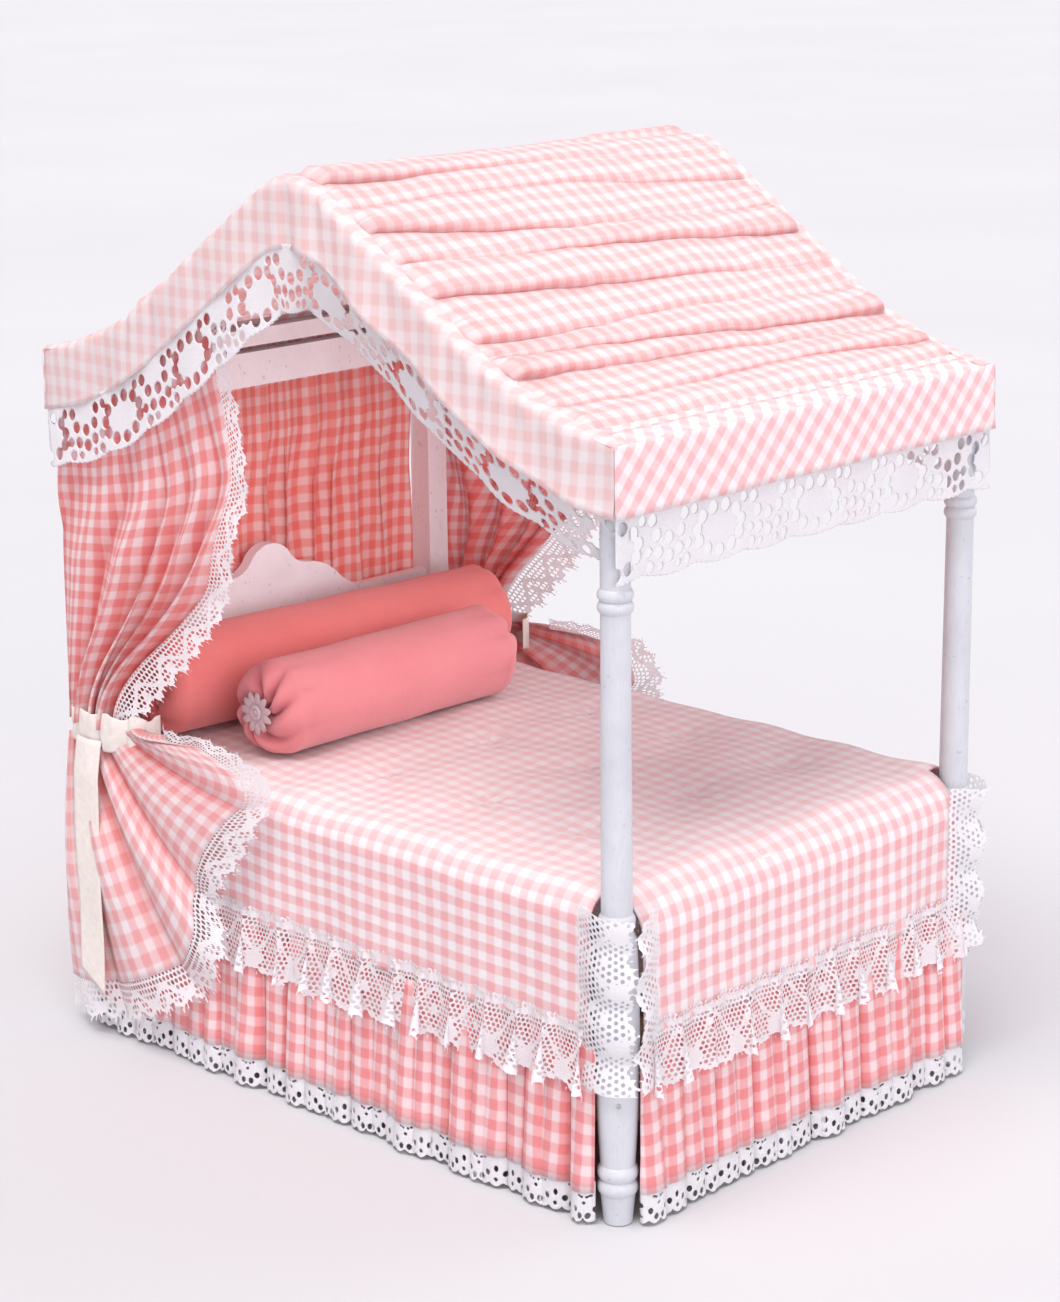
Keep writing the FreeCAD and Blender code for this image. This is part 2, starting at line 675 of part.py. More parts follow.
def bolster(name, radius, length, dish, across, along):
    """A stuffed roll lying across the bed, with rounded and drawn-in ends."""
    half = length / 2
    round_off = 0.32 * radius
    bow = 0.2928932 * round_off
    hub = 0.42 * radius
    outline = [(-half + dish, 0), (-half + dish, hub), (-half, radius - round_off)]
    right = [(-x, z) for x, z in outline]
    edges = chain(outline)
    edges += [
        arc(outline[2], (-half + bow, radius - bow), (-half + round_off, radius)),
        line((-half + round_off, radius), (half - round_off, radius)),
        arc((half - round_off, radius), (half - bow, radius - bow), right[2]),
    ]
    edges += chain([right[2], right[1], right[0], outline[0]])
    roll = keep(turned(name, edges, "H_Axis"), name)
    place(roll, across, along, f"bed_top + bolster_gap + {radius}")
    return roll


def daisy(name, side):
    """A flower on one end of the small bolster, a disc of the flower's size."""
    disc = doc.addObject("Part::Cylinder", name)
    bind(disc, Radius="daisy_radius * 0.9", Height="daisy_thickness")
    disc.Placement = Placement(Vector(), Rotation(Vector(0, 0, 1), Vector(side, 0, 0)))
    place(
        disc, f"neck_roll_across + {side} * ( neck_roll_length / 2 - neck_roll_dish )",
        "neck_roll_along", "bed_top + bolster_gap + neck_roll_radius",
    )
    keep(disc, name)


inner_half = "post_half_across - head_post_width / 2 - 0.1"
foot_inner_half = "post_half_across - leg_radius - post_clearance"

for word, side in SIDES:
    foot_post(f"foot_post_{word}", side)
    head_post(f"head_post_{word}", side)
    side_rail(f"side_rail_{word}", side)
    corner_block(f"corner_block_{word}", side)
    canopy_arch(f"canopy_arch_{word}", side)
post_nails()
end_rail("foot_rail", foot_inner_half, "- post_half_along", "rail_bottom", "rail_height")
end_rail("head_rail", inner_half, "post_half_along", "rail_bottom", "rail_height / 2")
end_rail(
    "curtain_rail", inner_half, "post_half_along", "curtain_rail_bottom", "curtain_rail_height"
)
keep(
    block(
        "base_board", "2 * ( post_half_across + board_thickness / 2 )",
        "bed_head_end + post_half_along - leg_radius - post_clearance", "base_thickness",
        "- post_half_across - board_thickness / 2",
        "- post_half_along + leg_radius + post_clearance", "rail_bottom + rail_height",
    ),
    "base_board",
)
headboard()
canopy_bar("canopy_foot_bar", "- post_half_along", "canopy_corner - roof_lining")
canopy_bar("canopy_head_bar", "post_half_along", "canopy_corner - roof_lining")
canopy_bar("canopy_ridge_bar", "0", "canopy_ridge - roof_lining - 0.2")

mattress()
coverlet()
roof_cloth()
back_curtain()
skirts()
for word, side in SIDES:
    side_band(f"band_{word}", side)
    side_valance(f"valance_lace_{word}", side)
    side_curtain(f"side_curtain_{word}", side)
    curtain_lace(f"curtain_lace_{word}", side)
    flare_lace(f"flare_lace_{word}", side)
    ribbon_tie(f"ribbon_tie_{word}", side)
    ribbon_tail(f"ribbon_tail_{word}", side)
for word, side in (("foot", -1), ("head", 1)):
    end_layer(
        f"band_{word}", side, "band_offset", "band_thickness",
        "canopy_corner - band_depth", "band_depth",
    )
    end_layer(
        f"valance_lace_{word}", side, "band_offset - lace_gap - lace_thickness",
        "lace_thickness", "canopy_corner - band_depth - valance_depth", "valance_depth + 1.5",
    )

back_bolster = bolster(
    "back_bolster", size("back_bolster_radius"), size("back_bolster_length"),
    size("back_bolster_dish"), "back_bolster_across", "back_bolster_along",
)
bind(back_bolster, Placement_to_Rotation_to_Angle="back_bolster_turn")
bolster(
    "neck_roll", size("neck_roll_radius"), size("neck_roll_length"), size("neck_roll_dish"),
    "neck_roll_across", "neck_roll_along",
)
for word, side in SIDES:
    daisy(f"daisy_{word}", side)

doc.recompute()

failed = [item.Label for item in doc.Objects if {"Invalid", "Error"} & set(item.State)]
for part in subparts:
    if part.Shape.isNull() or not part.Shape.isValid():
        failed.append(part.Label)
if failed:
    raise SystemExit(f"These objects failed: {failed}")

os.makedirs("parts", exist_ok=True)
for part in subparts:
    part.Shape.exportStep(f"parts/{part.Label}.step")
    box = part.Shape.BoundBox
    print(
        f"{part.Label:22s} solids {len(part.Shape.Solids)}  volume {part.Shape.Volume:9.1f}"
        f"  x {box.XMin:7.2f} {box.XMax:7.2f}  y {box.YMin:7.2f} {box.YMax:7.2f}"
        f"  z {box.ZMin:7.2f} {box.ZMax:7.2f}"
    )
print(len(subparts), "sub-parts")
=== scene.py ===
import math

import bpy
import numpy as np
from mathutils import Matrix, Vector


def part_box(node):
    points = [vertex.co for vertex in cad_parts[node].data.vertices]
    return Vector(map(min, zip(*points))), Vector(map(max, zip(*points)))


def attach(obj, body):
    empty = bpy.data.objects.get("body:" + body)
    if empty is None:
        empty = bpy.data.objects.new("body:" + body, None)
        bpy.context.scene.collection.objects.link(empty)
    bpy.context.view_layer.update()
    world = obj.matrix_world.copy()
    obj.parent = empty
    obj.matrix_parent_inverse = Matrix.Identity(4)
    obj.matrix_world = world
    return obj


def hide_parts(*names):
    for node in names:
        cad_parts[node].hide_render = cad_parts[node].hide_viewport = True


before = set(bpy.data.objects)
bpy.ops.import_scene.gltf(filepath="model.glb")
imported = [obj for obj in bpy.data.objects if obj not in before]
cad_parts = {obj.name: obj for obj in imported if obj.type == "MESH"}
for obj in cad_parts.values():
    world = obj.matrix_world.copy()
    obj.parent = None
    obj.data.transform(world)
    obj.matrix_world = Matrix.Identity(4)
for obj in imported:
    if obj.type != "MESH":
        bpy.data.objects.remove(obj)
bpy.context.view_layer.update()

# The looks of a miniature four poster bed. Lengths are in millimetres until a mesh is made, +Z is up, the
# foot of the bed is at -Y, and left is -X. A cloth's u and v are millimetres across and along its flat cut.

MM = 0.001
FIXED = "bedstead"


def box_mm(node):
    """The lowest and highest corners of a CAD node, in millimetres."""
    low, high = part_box(node)
    return np.array(low) / MM, np.array(high) / MM


# ---------------------------------------------------------------- node trees


def material_with(name, roughness, specular=0.4, sheen=0.0, metallic=0.0, coat=0.0):
    """A new material with its tree and its Principled shader."""
    material = bpy.data.materials.new(name)
    material.use_nodes = True
    shader = material.node_tree.nodes["Principled BSDF"]
    finish = {"Roughness": roughness, "Specular IOR Level": specular, "Sheen Weight": sheen,
              "Metallic": metallic, "Coat Weight": coat}
    for socket, value in finish.items():
        shader.inputs[socket].default_value = value
    return material, material.node_tree, shader


def node(tree, kind, inputs, output=0, **settings):
    """The output of a new node. Its inputs, by name or number, are sockets to link or plain values."""
    made = tree.nodes.new(kind)
    for name, value in settings.items():
        setattr(made, name, value)
    for key, value in inputs.items():
        if isinstance(value, bpy.types.NodeSocket):
            tree.links.new(value, made.inputs[key])
        else:
            made.inputs[key].default_value = value
    return made.outputs[output]


def calc(tree, operation, *values):
    """One Math node on sockets or numbers."""
    return node(tree, "ShaderNodeMath", dict(enumerate(values)), operation=operation)


def product(tree, first, second):
    """Two colours multiplied."""
    return node(tree, "ShaderNodeVectorMath", {0: first, 1: second}, operation="MULTIPLY")


def noise(tree, vector, scale, detail=3.0, roughness=0.55):
    """Noise from 0 to 1 at so many bumps a unit."""
    inputs = {"Vector": vector, "Scale": scale, "Detail": detail, "Roughness": roughness}
    return node(tree, "ShaderNodeTexNoise", inputs, "Fac")


def in_object(tree, scale=(1.0, 1.0, 1.0)):
    """Coordinates fixed to the piece, in metres times scale."""
    place = node(tree, "ShaderNodeTexCoord", {}, "Object")
    return node(tree, "ShaderNodeMapping", {"Vector": place, "Scale": scale})


def split(tree, vector):
    """The X, Y and Z of a vector."""
    return node(tree, "ShaderNodeSeparateXYZ", {"Vector": vector}).node.outputs


def on_cloth(tree):
    """The cloth's own u and v in millimetres, and both as a vector."""
    both = node(tree, "ShaderNodeUVMap", {}, uv_map="cloth")
    parts = split(tree, both)
    return parts["X"], parts["Y"], both


def ramp(tree, value, stops):
    """Colours along a value, as (place, (red, green, blue))."""
    colours = node(tree, "ShaderNodeValToRGB", {"Fac": value}, "Color")
    elements = colours.node.color_ramp.elements
    while len(elements) < len(stops):
        elements.new(0.5)
    for element, (place, colour) in zip(elements, stops):
        element.position = place
        element.color = (*colour, 1.0)
    return colours


def tinted(tree, colour, amount, fac):
    """The colour with its brightness varied by fac, from 1 - amount to 1 + amount."""
    level = calc(tree, "MULTIPLY_ADD", fac, 2 * amount, 1 - amount)
    return node(tree, "ShaderNodeVectorMath", {0: colour, "Scale": level}, operation="SCALE")


def shaded_in_folds(tree, colour, deep):
    """Painted shade: the colour times deep inside the cloth's folds, standing in for their shadow and for the
    light that the cloth's own colour reflects to and fro there.
    """
    depth = split(tree, node(tree, "ShaderNodeUVMap", {}, uv_map="fold"))["X"]
    return product(tree, colour, ramp(tree, depth, [(0.0, (1.0, 1.0, 1.0)), (1.0, deep)]))


def lit_from_above(tree, colour, share):
    """Painted light: the colour washed toward white by the given share where the cloth faces up, as if lit
    from above.
    """
    facing = split(tree, node(tree, "ShaderNodeNewGeometry", {}, "Normal"))["Z"]
    upward = ramp(tree, facing, [(0.25, (0.0, 0.0, 0.0)), (0.95, (share, share, share))])
    return node(tree, "ShaderNodeMixRGB", {"Fac": upward, "Color1": colour, "Color2": TOP_LIGHT_WHITE})


def finished(made, colour, height, depth, glow=0.0):
    """The material with its colour and a relief of depth millimetres.

    glow is the share of light that comes through from behind, on thin cloth.
    """
    material, tree, shader = made
    tree.links.new(colour, shader.inputs["Base Color"])
    normal = node(tree, "ShaderNodeBump", {"Strength": 1.0, "Distance": depth * MM, "Height": height})
    tree.links.new(normal, shader.inputs["Normal"])
    if glow:
        behind = node(tree, "ShaderNodeBsdfTranslucent", {"Color": colour, "Normal": normal})
        both = node(tree, "ShaderNodeMixShader", {"Fac": glow, 1: shader.outputs["BSDF"], 2: behind})
        tree.links.new(both, tree.nodes["Material Output"].inputs["Surface"])
    return material


# ---------------------------------------------------------------- materials

CHECK = (3.9, 4.4)  # the gingham's repeat across and along the bed
THREAD = 0.36  # from one yarn to the next
TWIST = 0.42  # one turn of the lace's thread
RIB = 0.3  # from one rib of the ribbon to the next
# Painted light: the pale colour that upward faces are washed toward, as if lit from above.
TOP_LIGHT_WHITE = (0.95, 0.89, 0.895, 1.0)
# Painted shade: the colours that deep folds multiply the cloth's colour by.
FOLD_SHADE_ON_CHECKS = (0.92, 0.47, 0.45)  # what a deep fold does to the gingham's colour
FOLD_SHADE_ON_CORAL = (0.62, 0.34, 0.36)  # and to plain coral cotton's


def waves(tree, place, length):
    """A sine along a place, one wave to each length."""
    return calc(tree, "SINE", calc(tree, "MULTIPLY", place, 2 * math.pi / length))


def weave(tree, u, v, pitch):
    """Height of a plain weave of yarns, from 0 to 1."""
    crossed = calc(tree, "MULTIPLY", waves(tree, u, pitch), waves(tree, v, pitch))
    return calc(tree, "MULTIPLY_ADD", crossed, 0.5, 0.5)


def stripe(tree, place, shift, repeat):
    """1 on the dyed half of each repeat and 0 on the white half, with a soft edge."""
    shifted = calc(tree, "ADD", place, shift)
    turn = calc(tree, "FRACT", calc(tree, "DIVIDE", shifted, repeat))
    middle = calc(tree, "ABSOLUTE", calc(tree, "SUBTRACT", turn, 0.5))
    inputs = {"Value": middle, "From Min": 0.315, "From Max": 0.185}
    return node(tree, "ShaderNodeMapRange", inputs, "Result", interpolation_type="SMOOTHSTEP")


def gingham(name, white, half, full, glow, balance=0.55, top_light=0.0):
    """Woven checks: white, half tone where one dyed stripe runs, and full tone where two cross.

    balance is the share of the stripes that run along the cloth; the last argument is how far painted light
    from above whitens the cloth's upward side.
    """
    made = material_with(name, roughness=0.88, specular=0.2, sheen=0.15)
    tree = made[1]
    u, v, uv = on_cloth(tree)
    shift = calc(tree, "MULTIPLY_ADD", noise(tree, uv, 0.11), 0.9, -0.45)
    across = stripe(tree, u, shift, CHECK[0])
    along = stripe(tree, v, shift, CHECK[1])
    yarn = calc(tree, "MULTIPLY_ADD", noise(tree, uv, 2.6, detail=2.0), 0.16, -0.08)
    dye = calc(tree, "MULTIPLY_ADD", across, balance, calc(tree, "MULTIPLY", along, 1 - balance))
    woven = weave(tree, u, v, THREAD)
    dye = calc(tree, "ADD", dye, calc(tree, "MULTIPLY_ADD", woven, 0.10, yarn))
    colour = ramp(tree, dye, [(0.02, white), (0.5, half), (0.98, full)])
    colour = tinted(tree, colour, 0.035, noise(tree, uv, 0.05))
    # Painted light from above on the upward faces.
    if top_light:
        colour = lit_from_above(tree, colour, top_light)
    crumple = calc(tree, "MULTIPLY", noise(tree, uv, 0.35, detail=4.0), 3.0)
    # Painted shade in the folds darkens the checks.
    return finished(made, shaded_in_folds(tree, colour, FOLD_SHADE_ON_CHECKS), calc(tree, "ADD", crumple, woven), 0.045, glow)


def cotton(name, colour, deep):
    """Plain dyed cotton of fine yarn."""
    made = material_with(name, roughness=0.9, specular=0.15, sheen=0.35)
    tree = made[1]
    u, v, uv = on_cloth(tree)
    woven = weave(tree, u, v, THREAD * 0.8)
    slub = noise(tree, uv, 1.3, detail=4.0)
    mottle = calc(tree, "MULTIPLY_ADD", noise(tree, uv, 0.08), 0.7, calc(tree, "MULTIPLY", slub, 0.3))
    mottle = calc(tree, "ADD", mottle, calc(tree, "MULTIPLY_ADD", woven, 0.2, -0.1))
    # Painted shade in the folds of the cover.
    dyed = shaded_in_folds(tree, ramp(tree, mottle, [(0.25, deep), (0.75, colour)]), FOLD_SHADE_ON_CORAL)
    height = calc(tree, "ADD", woven, calc(tree, "MULTIPLY", slub, 1.5))
    return finished(made, dyed, height, 0.04, glow=0.12)


def lace_thread(name, colour, shade):
    """Twisted white cotton yarn, close and slightly fuzzy."""
    made = material_with(name, roughness=0.8, specular=0.25, sheen=0.3)
    tree = made[1]
    u, v, uv = on_cloth(tree)
    twist = waves(tree, calc(tree, "ADD", u, v), TWIST)
    fuzz = noise(tree, uv, 1.9, detail=4.0)
    cotton_white = ramp(tree, fuzz, [(0.25, shade), (0.62, colour)])
    cotton_white = tinted(tree, cotton_white, 0.03, noise(tree, uv, 0.1))
    height = calc(tree, "ADD", calc(tree, "MULTIPLY", twist, 0.35), calc(tree, "MULTIPLY", fuzz, 1.6))
    return finished(made, cotton_white, height, 0.09, glow=0.3)


def satin_ribbon():
    """Ivory ribbon with fine cross ribs and woven edges."""
    made = material_with("ivory_satin", roughness=0.5, specular=0.5, sheen=0.25)
    tree = made[1]
    _, v, uv = on_cloth(tree)
    streaks = noise(tree, uv, 0.6, detail=3.0)
    colour = ramp(tree, streaks, [(0.3, (0.86, 0.77, 0.70)), (0.7, (0.93, 0.87, 0.82))])
    height = calc(tree, "ADD", calc(tree, "MULTIPLY", waves(tree, v, RIB), 0.5), streaks)
    return finished(made, colour, height, 0.03, glow=0.2)


def white_paint(name, dull, bright):
    """White paint on wood: brushed, uneven in tone, with fine specks."""
    made = material_with(name, roughness=0.42, specular=0.4, coat=0.1)
    tree, shader = made[1:]
    place = in_object(tree)
    grain = noise(tree, in_object(tree, (1.0, 1.0, 0.12)), 2600.0, detail=4.0)
    cloud = noise(tree, place, 90.0)
    tone = calc(tree, "MULTIPLY_ADD", grain, 0.35, calc(tree, "MULTIPLY", cloud, 0.65))
    colour = ramp(tree, tone, [(0.3, dull), (0.65, bright)])
    specks = ramp(tree, noise(tree, place, 700.0, detail=2.0), [(0.66, (1, 1, 1)), (0.74, (0.8, 0.79, 0.8))])
    tree.links.new(calc(tree, "MULTIPLY_ADD", cloud, 0.25, 0.3), shader.inputs["Roughness"])
    return finished(made, product(tree, colour, specks), calc(tree, "ADD", grain, cloud), 0.05)


def bare_wood(name, stretch):
    """Pale basswood. stretch is small along the grain."""
    made = material_with(name, roughness=0.7, specular=0.3)
    tree = made[1]
    along = in_object(tree, stretch)
    rings = noise(tree, along, 420.0, detail=5.0, roughness=0.65)
    pores = noise(tree, along, 2400.0, detail=2.0)
    tone = calc(tree, "MULTIPLY_ADD", pores, 0.3, calc(tree, "MULTIPLY", rings, 0.7))
    colour = ramp(tree, tone, [(0.3, (0.50, 0.34, 0.19)), (0.7, (0.74, 0.58, 0.39))])
    return finished(made, colour, tone, 0.08)


def nail_steel():
    """Drawn steel wire with dull patches."""
    material, tree, shader = material_with("nail_steel", roughness=0.35, metallic=1.0)
    dull = noise(tree, in_object(tree), 1500.0, detail=3.0)
    colour = ramp(tree, dull, [(0.3, (0.38, 0.36, 0.34)), (0.7, (0.62, 0.61, 0.60))])
    tree.links.new(colour, shader.inputs["Base Color"])
    tree.links.new(calc(tree, "MULTIPLY_ADD", dull, 0.4, 0.2), shader.inputs["Roughness"])
    return material


def wadding():
    """Off-white cotton felt."""
    made = material_with("wadding", roughness=0.95, specular=0.1, sheen=0.4)
    tree = made[1]
    fibre = noise(tree, in_object(tree), 900.0, detail=5.0, roughness=0.7)
    colour = ramp(tree, fibre, [(0.3, (0.70, 0.66, 0.62)), (0.7, (0.88, 0.85, 0.81))])
    return finished(made, colour, fibre, 0.5)


# One pink gingham in copies whose tones are painted lighter or darker by how the light falls on each piece:
# paler for the roof and its strips, deeper for the side curtains, the dust ruffle and the back curtain in
# shade. The coverlet's copy also has painted light on its upward side.
PALE = gingham("gingham_pale", (0.94, 0.88, 0.89), (0.92, 0.68, 0.69), (0.89, 0.47, 0.48), 0.2, top_light=0.42)
ROOF = gingham("gingham_roof", (0.95, 0.86, 0.86), (0.94, 0.74, 0.74), (0.93, 0.60, 0.59), 0.4)
BAND = gingham("gingham_band", (0.95, 0.90, 0.90), (0.95, 0.82, 0.82), (0.94, 0.70, 0.69), 0.4)
SKIRT_IN_SHADE = gingham("gingham_skirt_in_shade", (0.92, 0.78, 0.79), (0.90, 0.52, 0.53), (0.86, 0.31, 0.32), 0.2)
BIAS = gingham("gingham_bias", (0.94, 0.87, 0.88), (0.93, 0.72, 0.73), (0.91, 0.54, 0.55), 0.15, balance=0.66)
FAN = gingham("gingham_fan", (0.94, 0.87, 0.88), (0.93, 0.67, 0.68), (0.90, 0.47, 0.47), 0.3)
MIDDLE = gingham("gingham_middle", (0.94, 0.84, 0.85), (0.92, 0.56, 0.56), (0.89, 0.34, 0.33), 0.35)
GINGHAM_IN_DEEP_SHADE = gingham("gingham_in_deep_shade", (0.97, 0.80, 0.78), (0.96, 0.53, 0.50), (0.94, 0.34, 0.30), 0.45)
# One coral cotton in two copies: the back bolster's, in shade behind the neck roll, is painted a deeper
# coral.
ROLL = cotton("coral_cotton", (0.84, 0.30, 0.32), (0.79, 0.25, 0.27))
BOLSTER_IN_SHADE = cotton("coral_cotton_in_shade", (0.95, 0.29, 0.28), (0.91, 0.24, 0.23))
LACE = lace_thread("white_lace", (0.95, 0.93, 0.95), (0.90, 0.87, 0.90))
DAISY = lace_thread("daisy_lace", (0.84, 0.66, 0.69), (0.72, 0.52, 0.56))
RIBBON = satin_ribbon()
# One white paint in two copies: the head posts, headboard, rail and bar inside the canopy get a copy painted
# lighter against the shade there.
PAINT = white_paint("white_paint", (0.52, 0.525, 0.56), (0.62, 0.625, 0.66))
PAINT_LIT_FOR_SHADE = white_paint("white_paint_lit_for_shade", (0.78, 0.76, 0.79), (0.87, 0.85, 0.88))
STEEL = nail_steel()
FELT = wadding()
WOOD = {
    "x": bare_wood("bare_wood_across", (0.06, 1.0, 1.0)),
    "y": bare_wood("bare_wood_along", (1.0, 0.06, 1.0)),
    "z": bare_wood("bare_wood_upright", (1.0, 1.0, 0.06)),
}

# ---------------------------------------------------------------- meshes


def wander(seed, length):
    """A smooth random curve of about -1 to 1, whose bumps are about that many millimetres long."""
    rng = np.random.default_rng(seed)
    waves = [(rng.uniform(0.6, 1.7), rng.uniform(0, 2 * math.pi), rng.uniform(0.5, 1.0)) for _ in range(5)]
    whole = sum(size for _, _, size in waves) * 0.6

    def curve(place):
        turns = np.asarray(place, float) * 2 * math.pi / length
        return sum(size * np.sin(rate * turns + start) for rate, start, size in waves) / whole

    return curve


def ripple(seed, length):
    """The same over a surface: smooth random waves in all directions."""
    rng = np.random.default_rng(seed)
    waves = []
    for _ in range(9):
        angle = rng.uniform(0, math.pi)
        rate = 2 * math.pi / length * rng.uniform(0.6, 1.8)
        waves.append((rate * math.cos(angle), rate * math.sin(angle), rng.uniform(0, 2 * math.pi)))

    def surface(u, v):
        return sum(np.sin(a * u + b * v + start) for a, b, start in waves) / 4.5

    return surface


def curve_through(points, count):
    """A smooth line through a few points, as count places (Catmull-Rom)."""
    line = np.array(points, float)
    line = np.vstack([2 * line[0] - line[1], line, 2 * line[-1] - line[-2]])
    spans = len(points) - 1
    at = np.linspace(0, spans, count)
    first = np.minimum(at.astype(int), spans - 1)
    t = (at - first)[:, None]
    a, b, c, d = (line[first + k] for k in range(4))
    return 0.5 * (2 * b + (c - a) * t + (2 * a - 5 * b + 4 * c - d) * t**2 + (3 * b - a - 3 * c + d) * t**3)


def grid_of(x, y, z):
    """Points from their three coordinates, spread to one grid."""
    return np.stack(np.broadcast_arrays(x, y, z), axis=-1)


def travelled(points):
    """Distance along a line of points, from 0 at its start."""
    steps = np.linalg.norm(np.diff(points, axis=0), axis=1)
    return np.concatenate([[0.0], np.cumsum(steps)])


def even(points, count):
    """The same line with evenly spaced points."""
    along = travelled(points)
    at = np.linspace(0, along[-1], count)
    return np.stack([np.interp(at, along, points[:, k]) for k in range(points.shape[1])], axis=1)


def mesh_object(name, vertices, faces, uv, material, body=FIXED, slot="gingham", thickness=0.0, crease=None):
    """A mesh piece, its points in millimetres, riding on a body, with its cloth coordinates.

    crease is how much painted shade each point gets in the folds, from 0 to 1.
    """
    mesh = bpy.data.meshes.new(name)
    mesh.from_pydata((np.asarray(vertices, float) * MM).tolist(), [], faces)
    layer = mesh.uv_layers.new(name="cloth")
    corners = np.zeros(len(mesh.loops), np.int32)
    mesh.loops.foreach_get("vertex_index", corners)
    layer.data.foreach_set("uv", np.asarray(uv, np.float32)[corners].ravel())
    # The painted shade of the folds goes into a UV layer named fold.
    if crease is not None:
        depth = np.stack([np.asarray(crease, np.float32), np.zeros(len(crease), np.float32)], axis=1)
        mesh.uv_layers.new(name="fold").data.foreach_set("uv", depth[corners].ravel())
    mesh.polygons.foreach_set("use_smooth", np.ones(len(mesh.polygons), bool))
    mesh.materials.append(material)
    made = bpy.data.objects.new(name, mesh)
    bpy.context.scene.collection.objects.link(made)
    if thickness:
        skin = made.modifiers.new("thickness", "SOLIDIFY")
        skin.thickness = thickness * MM
        skin.offset = 0.0
        skin.use_even_offset = False
    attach(made, body)
    return made


def grid_faces(rows, columns, keep=None):
    """The quads of a grid of points, row by row."""
    corner = np.arange((rows - 1) * columns).reshape(rows - 1, columns)[:, :-1]
    quads = np.stack([corner, corner + 1, corner + columns + 1, corner + columns], axis=-1)
    return (quads[keep] if keep is not None else quads.reshape(-1, 4)).tolist()


def cloth(name, points, u, v, material, keep=None, thickness=0.3, crease=None, **more):
    """A sheet of cloth from a grid of points. u and v are its cloth coordinates."""
    if crease is not None:
        crease = np.clip(np.broadcast_to(crease, points.shape[:2]), 0, 1).ravel()
    rows, columns = points.shape[:2]
    grids = np.broadcast_arrays(u, v) if np.ndim(u) > 1 else np.meshgrid(u, v)
    uv = np.stack(grids, axis=-1)
    faces = grid_faces(rows, columns, keep)
    return mesh_object(name, points.reshape(-1, 3), faces, uv.reshape(-1, 2), material,
                       thickness=thickness, crease=crease, **more)


def measured(points):
    """Cloth coordinates of a gathered grid: the length of its middle row, and the depth of its rows."""
    u = travelled(points[len(points) // 2])
    v = travelled(points.mean(axis=1))
    return u, v


def read_grid(points, u, v, at_u, at_v):
    """Places on a grid of points, at cloth coordinates inside it."""
    i = np.clip(np.searchsorted(u, at_u) - 1, 0, len(u) - 2)
    j = np.clip(np.searchsorted(v, at_v) - 1, 0, len(v) - 2)
    a = ((at_u - u[i]) / (u[i + 1] - u[i]))[:, None]
    b = ((at_v - v[j]) / (v[j + 1] - v[j]))[:, None]
    upper = points[j, i] * (1 - a) + points[j, i + 1] * a
    lower = points[j + 1, i] * (1 - a) + points[j + 1, i + 1] * a
    return upper * (1 - b) + lower * b


def cut_pattern(width, depth, pattern, step):
    """A flat strip cut where pattern(u, v) is above 0: its points (u, v) and its faces (marching squares)."""
    columns = math.ceil(width / step)
    rows = math.ceil(depth / step)
    u = np.linspace(0, width, columns + 1)
    v = np.linspace(0, depth, rows + 1)
    grid_u, grid_v = np.meshgrid(u, v, indexing="ij")
    value = pattern(grid_u, grid_v)
    value = np.where(np.abs(value) < 1e-6, 1e-6, value)

    def crossing(first, second):
        return np.clip(first / np.where(first == second, 1.0, first - second), 0.15, 0.85)

    share_u = crossing(value[:-1], value[1:])
    share_v = crossing(value[:, :-1], value[:, 1:])
    on_u = np.stack([grid_u[:-1] + share_u * u[1], grid_v[:-1]], axis=-1)
    on_v = np.stack([grid_u[:, :-1], grid_v[:, :-1] + share_v * v[1]], axis=-1)
    corners = np.stack([grid_u, grid_v], axis=-1)
    points = np.concatenate([corners.reshape(-1, 2), on_u.reshape(-1, 2), on_v.reshape(-1, 2)])
    i, j = np.meshgrid(np.arange(columns), np.arange(rows), indexing="ij")
    first_on_u = corners.shape[0] * corners.shape[1]
    first_on_v = first_on_u + columns * (rows + 1)

    def corner(a, b):
        return (i + a) * (rows + 1) + j + b

    def side_u(b):
        return first_on_u + corner(0, b)

    def side_v(a):
        return first_on_v + (i + a) * rows + j

    ring = [corner(0, 0), side_u(0), corner(1, 0), side_v(1)]
    ring += [corner(1, 1), side_u(1), corner(0, 1), side_v(0)]
    ring = np.stack(ring, axis=-1)
    inside = np.stack([value[:-1, :-1], value[1:, :-1], value[1:, 1:], value[:-1, 1:]], axis=-1) > 0
    kind = inside @ np.array([1, 2, 4, 8])
    faces = []
    for case in range(1, 16):
        solid = [bool(case >> k & 1) for k in range(4)]
        slots = []
        for k in range(4):
            if solid[k]:
                slots.append(2 * k)
            if solid[k] != solid[(k + 1) % 4]:
                slots.append(2 * k + 1)
        faces += ring[kind == case][:, slots].tolist()
    used = np.unique(np.concatenate([np.asarray(face) for face in faces]))
    renumber = np.zeros(len(points), int)
    renumber[used] = np.arange(len(used))
    return points[used], [[int(renumber[k]) for k in face] for face in faces]


LEAST_FLAT = 0.0101
LEAST_SHARE = 0.31  # of its width times its length, for a sheet full of holes


def flat_area(points, faces):
    """The area of a flat pattern."""
    total = 0.0
    for face in faces:
        ring = points[face]
        x, y = ring[:, 0], ring[:, 1]
        total += 0.5 * abs(np.dot(x, np.roll(y, -1)) - np.dot(y, np.roll(x, -1)))
    return total


def lace(name, points, u, v, pattern, step, thickness=0.0):
    """Lace on a grid of points: a pattern with real holes, carried onto the surface. Its piece and area."""
    flat, faces = cut_pattern(u[-1], v[-1], pattern, step)
    placed = read_grid(points, u, v, flat[:, 0], flat[:, 1])
    made = mesh_object(name, placed, faces, flat, LACE, slot="white_lace", thickness=thickness)
    return made, flat_area(flat, faces)


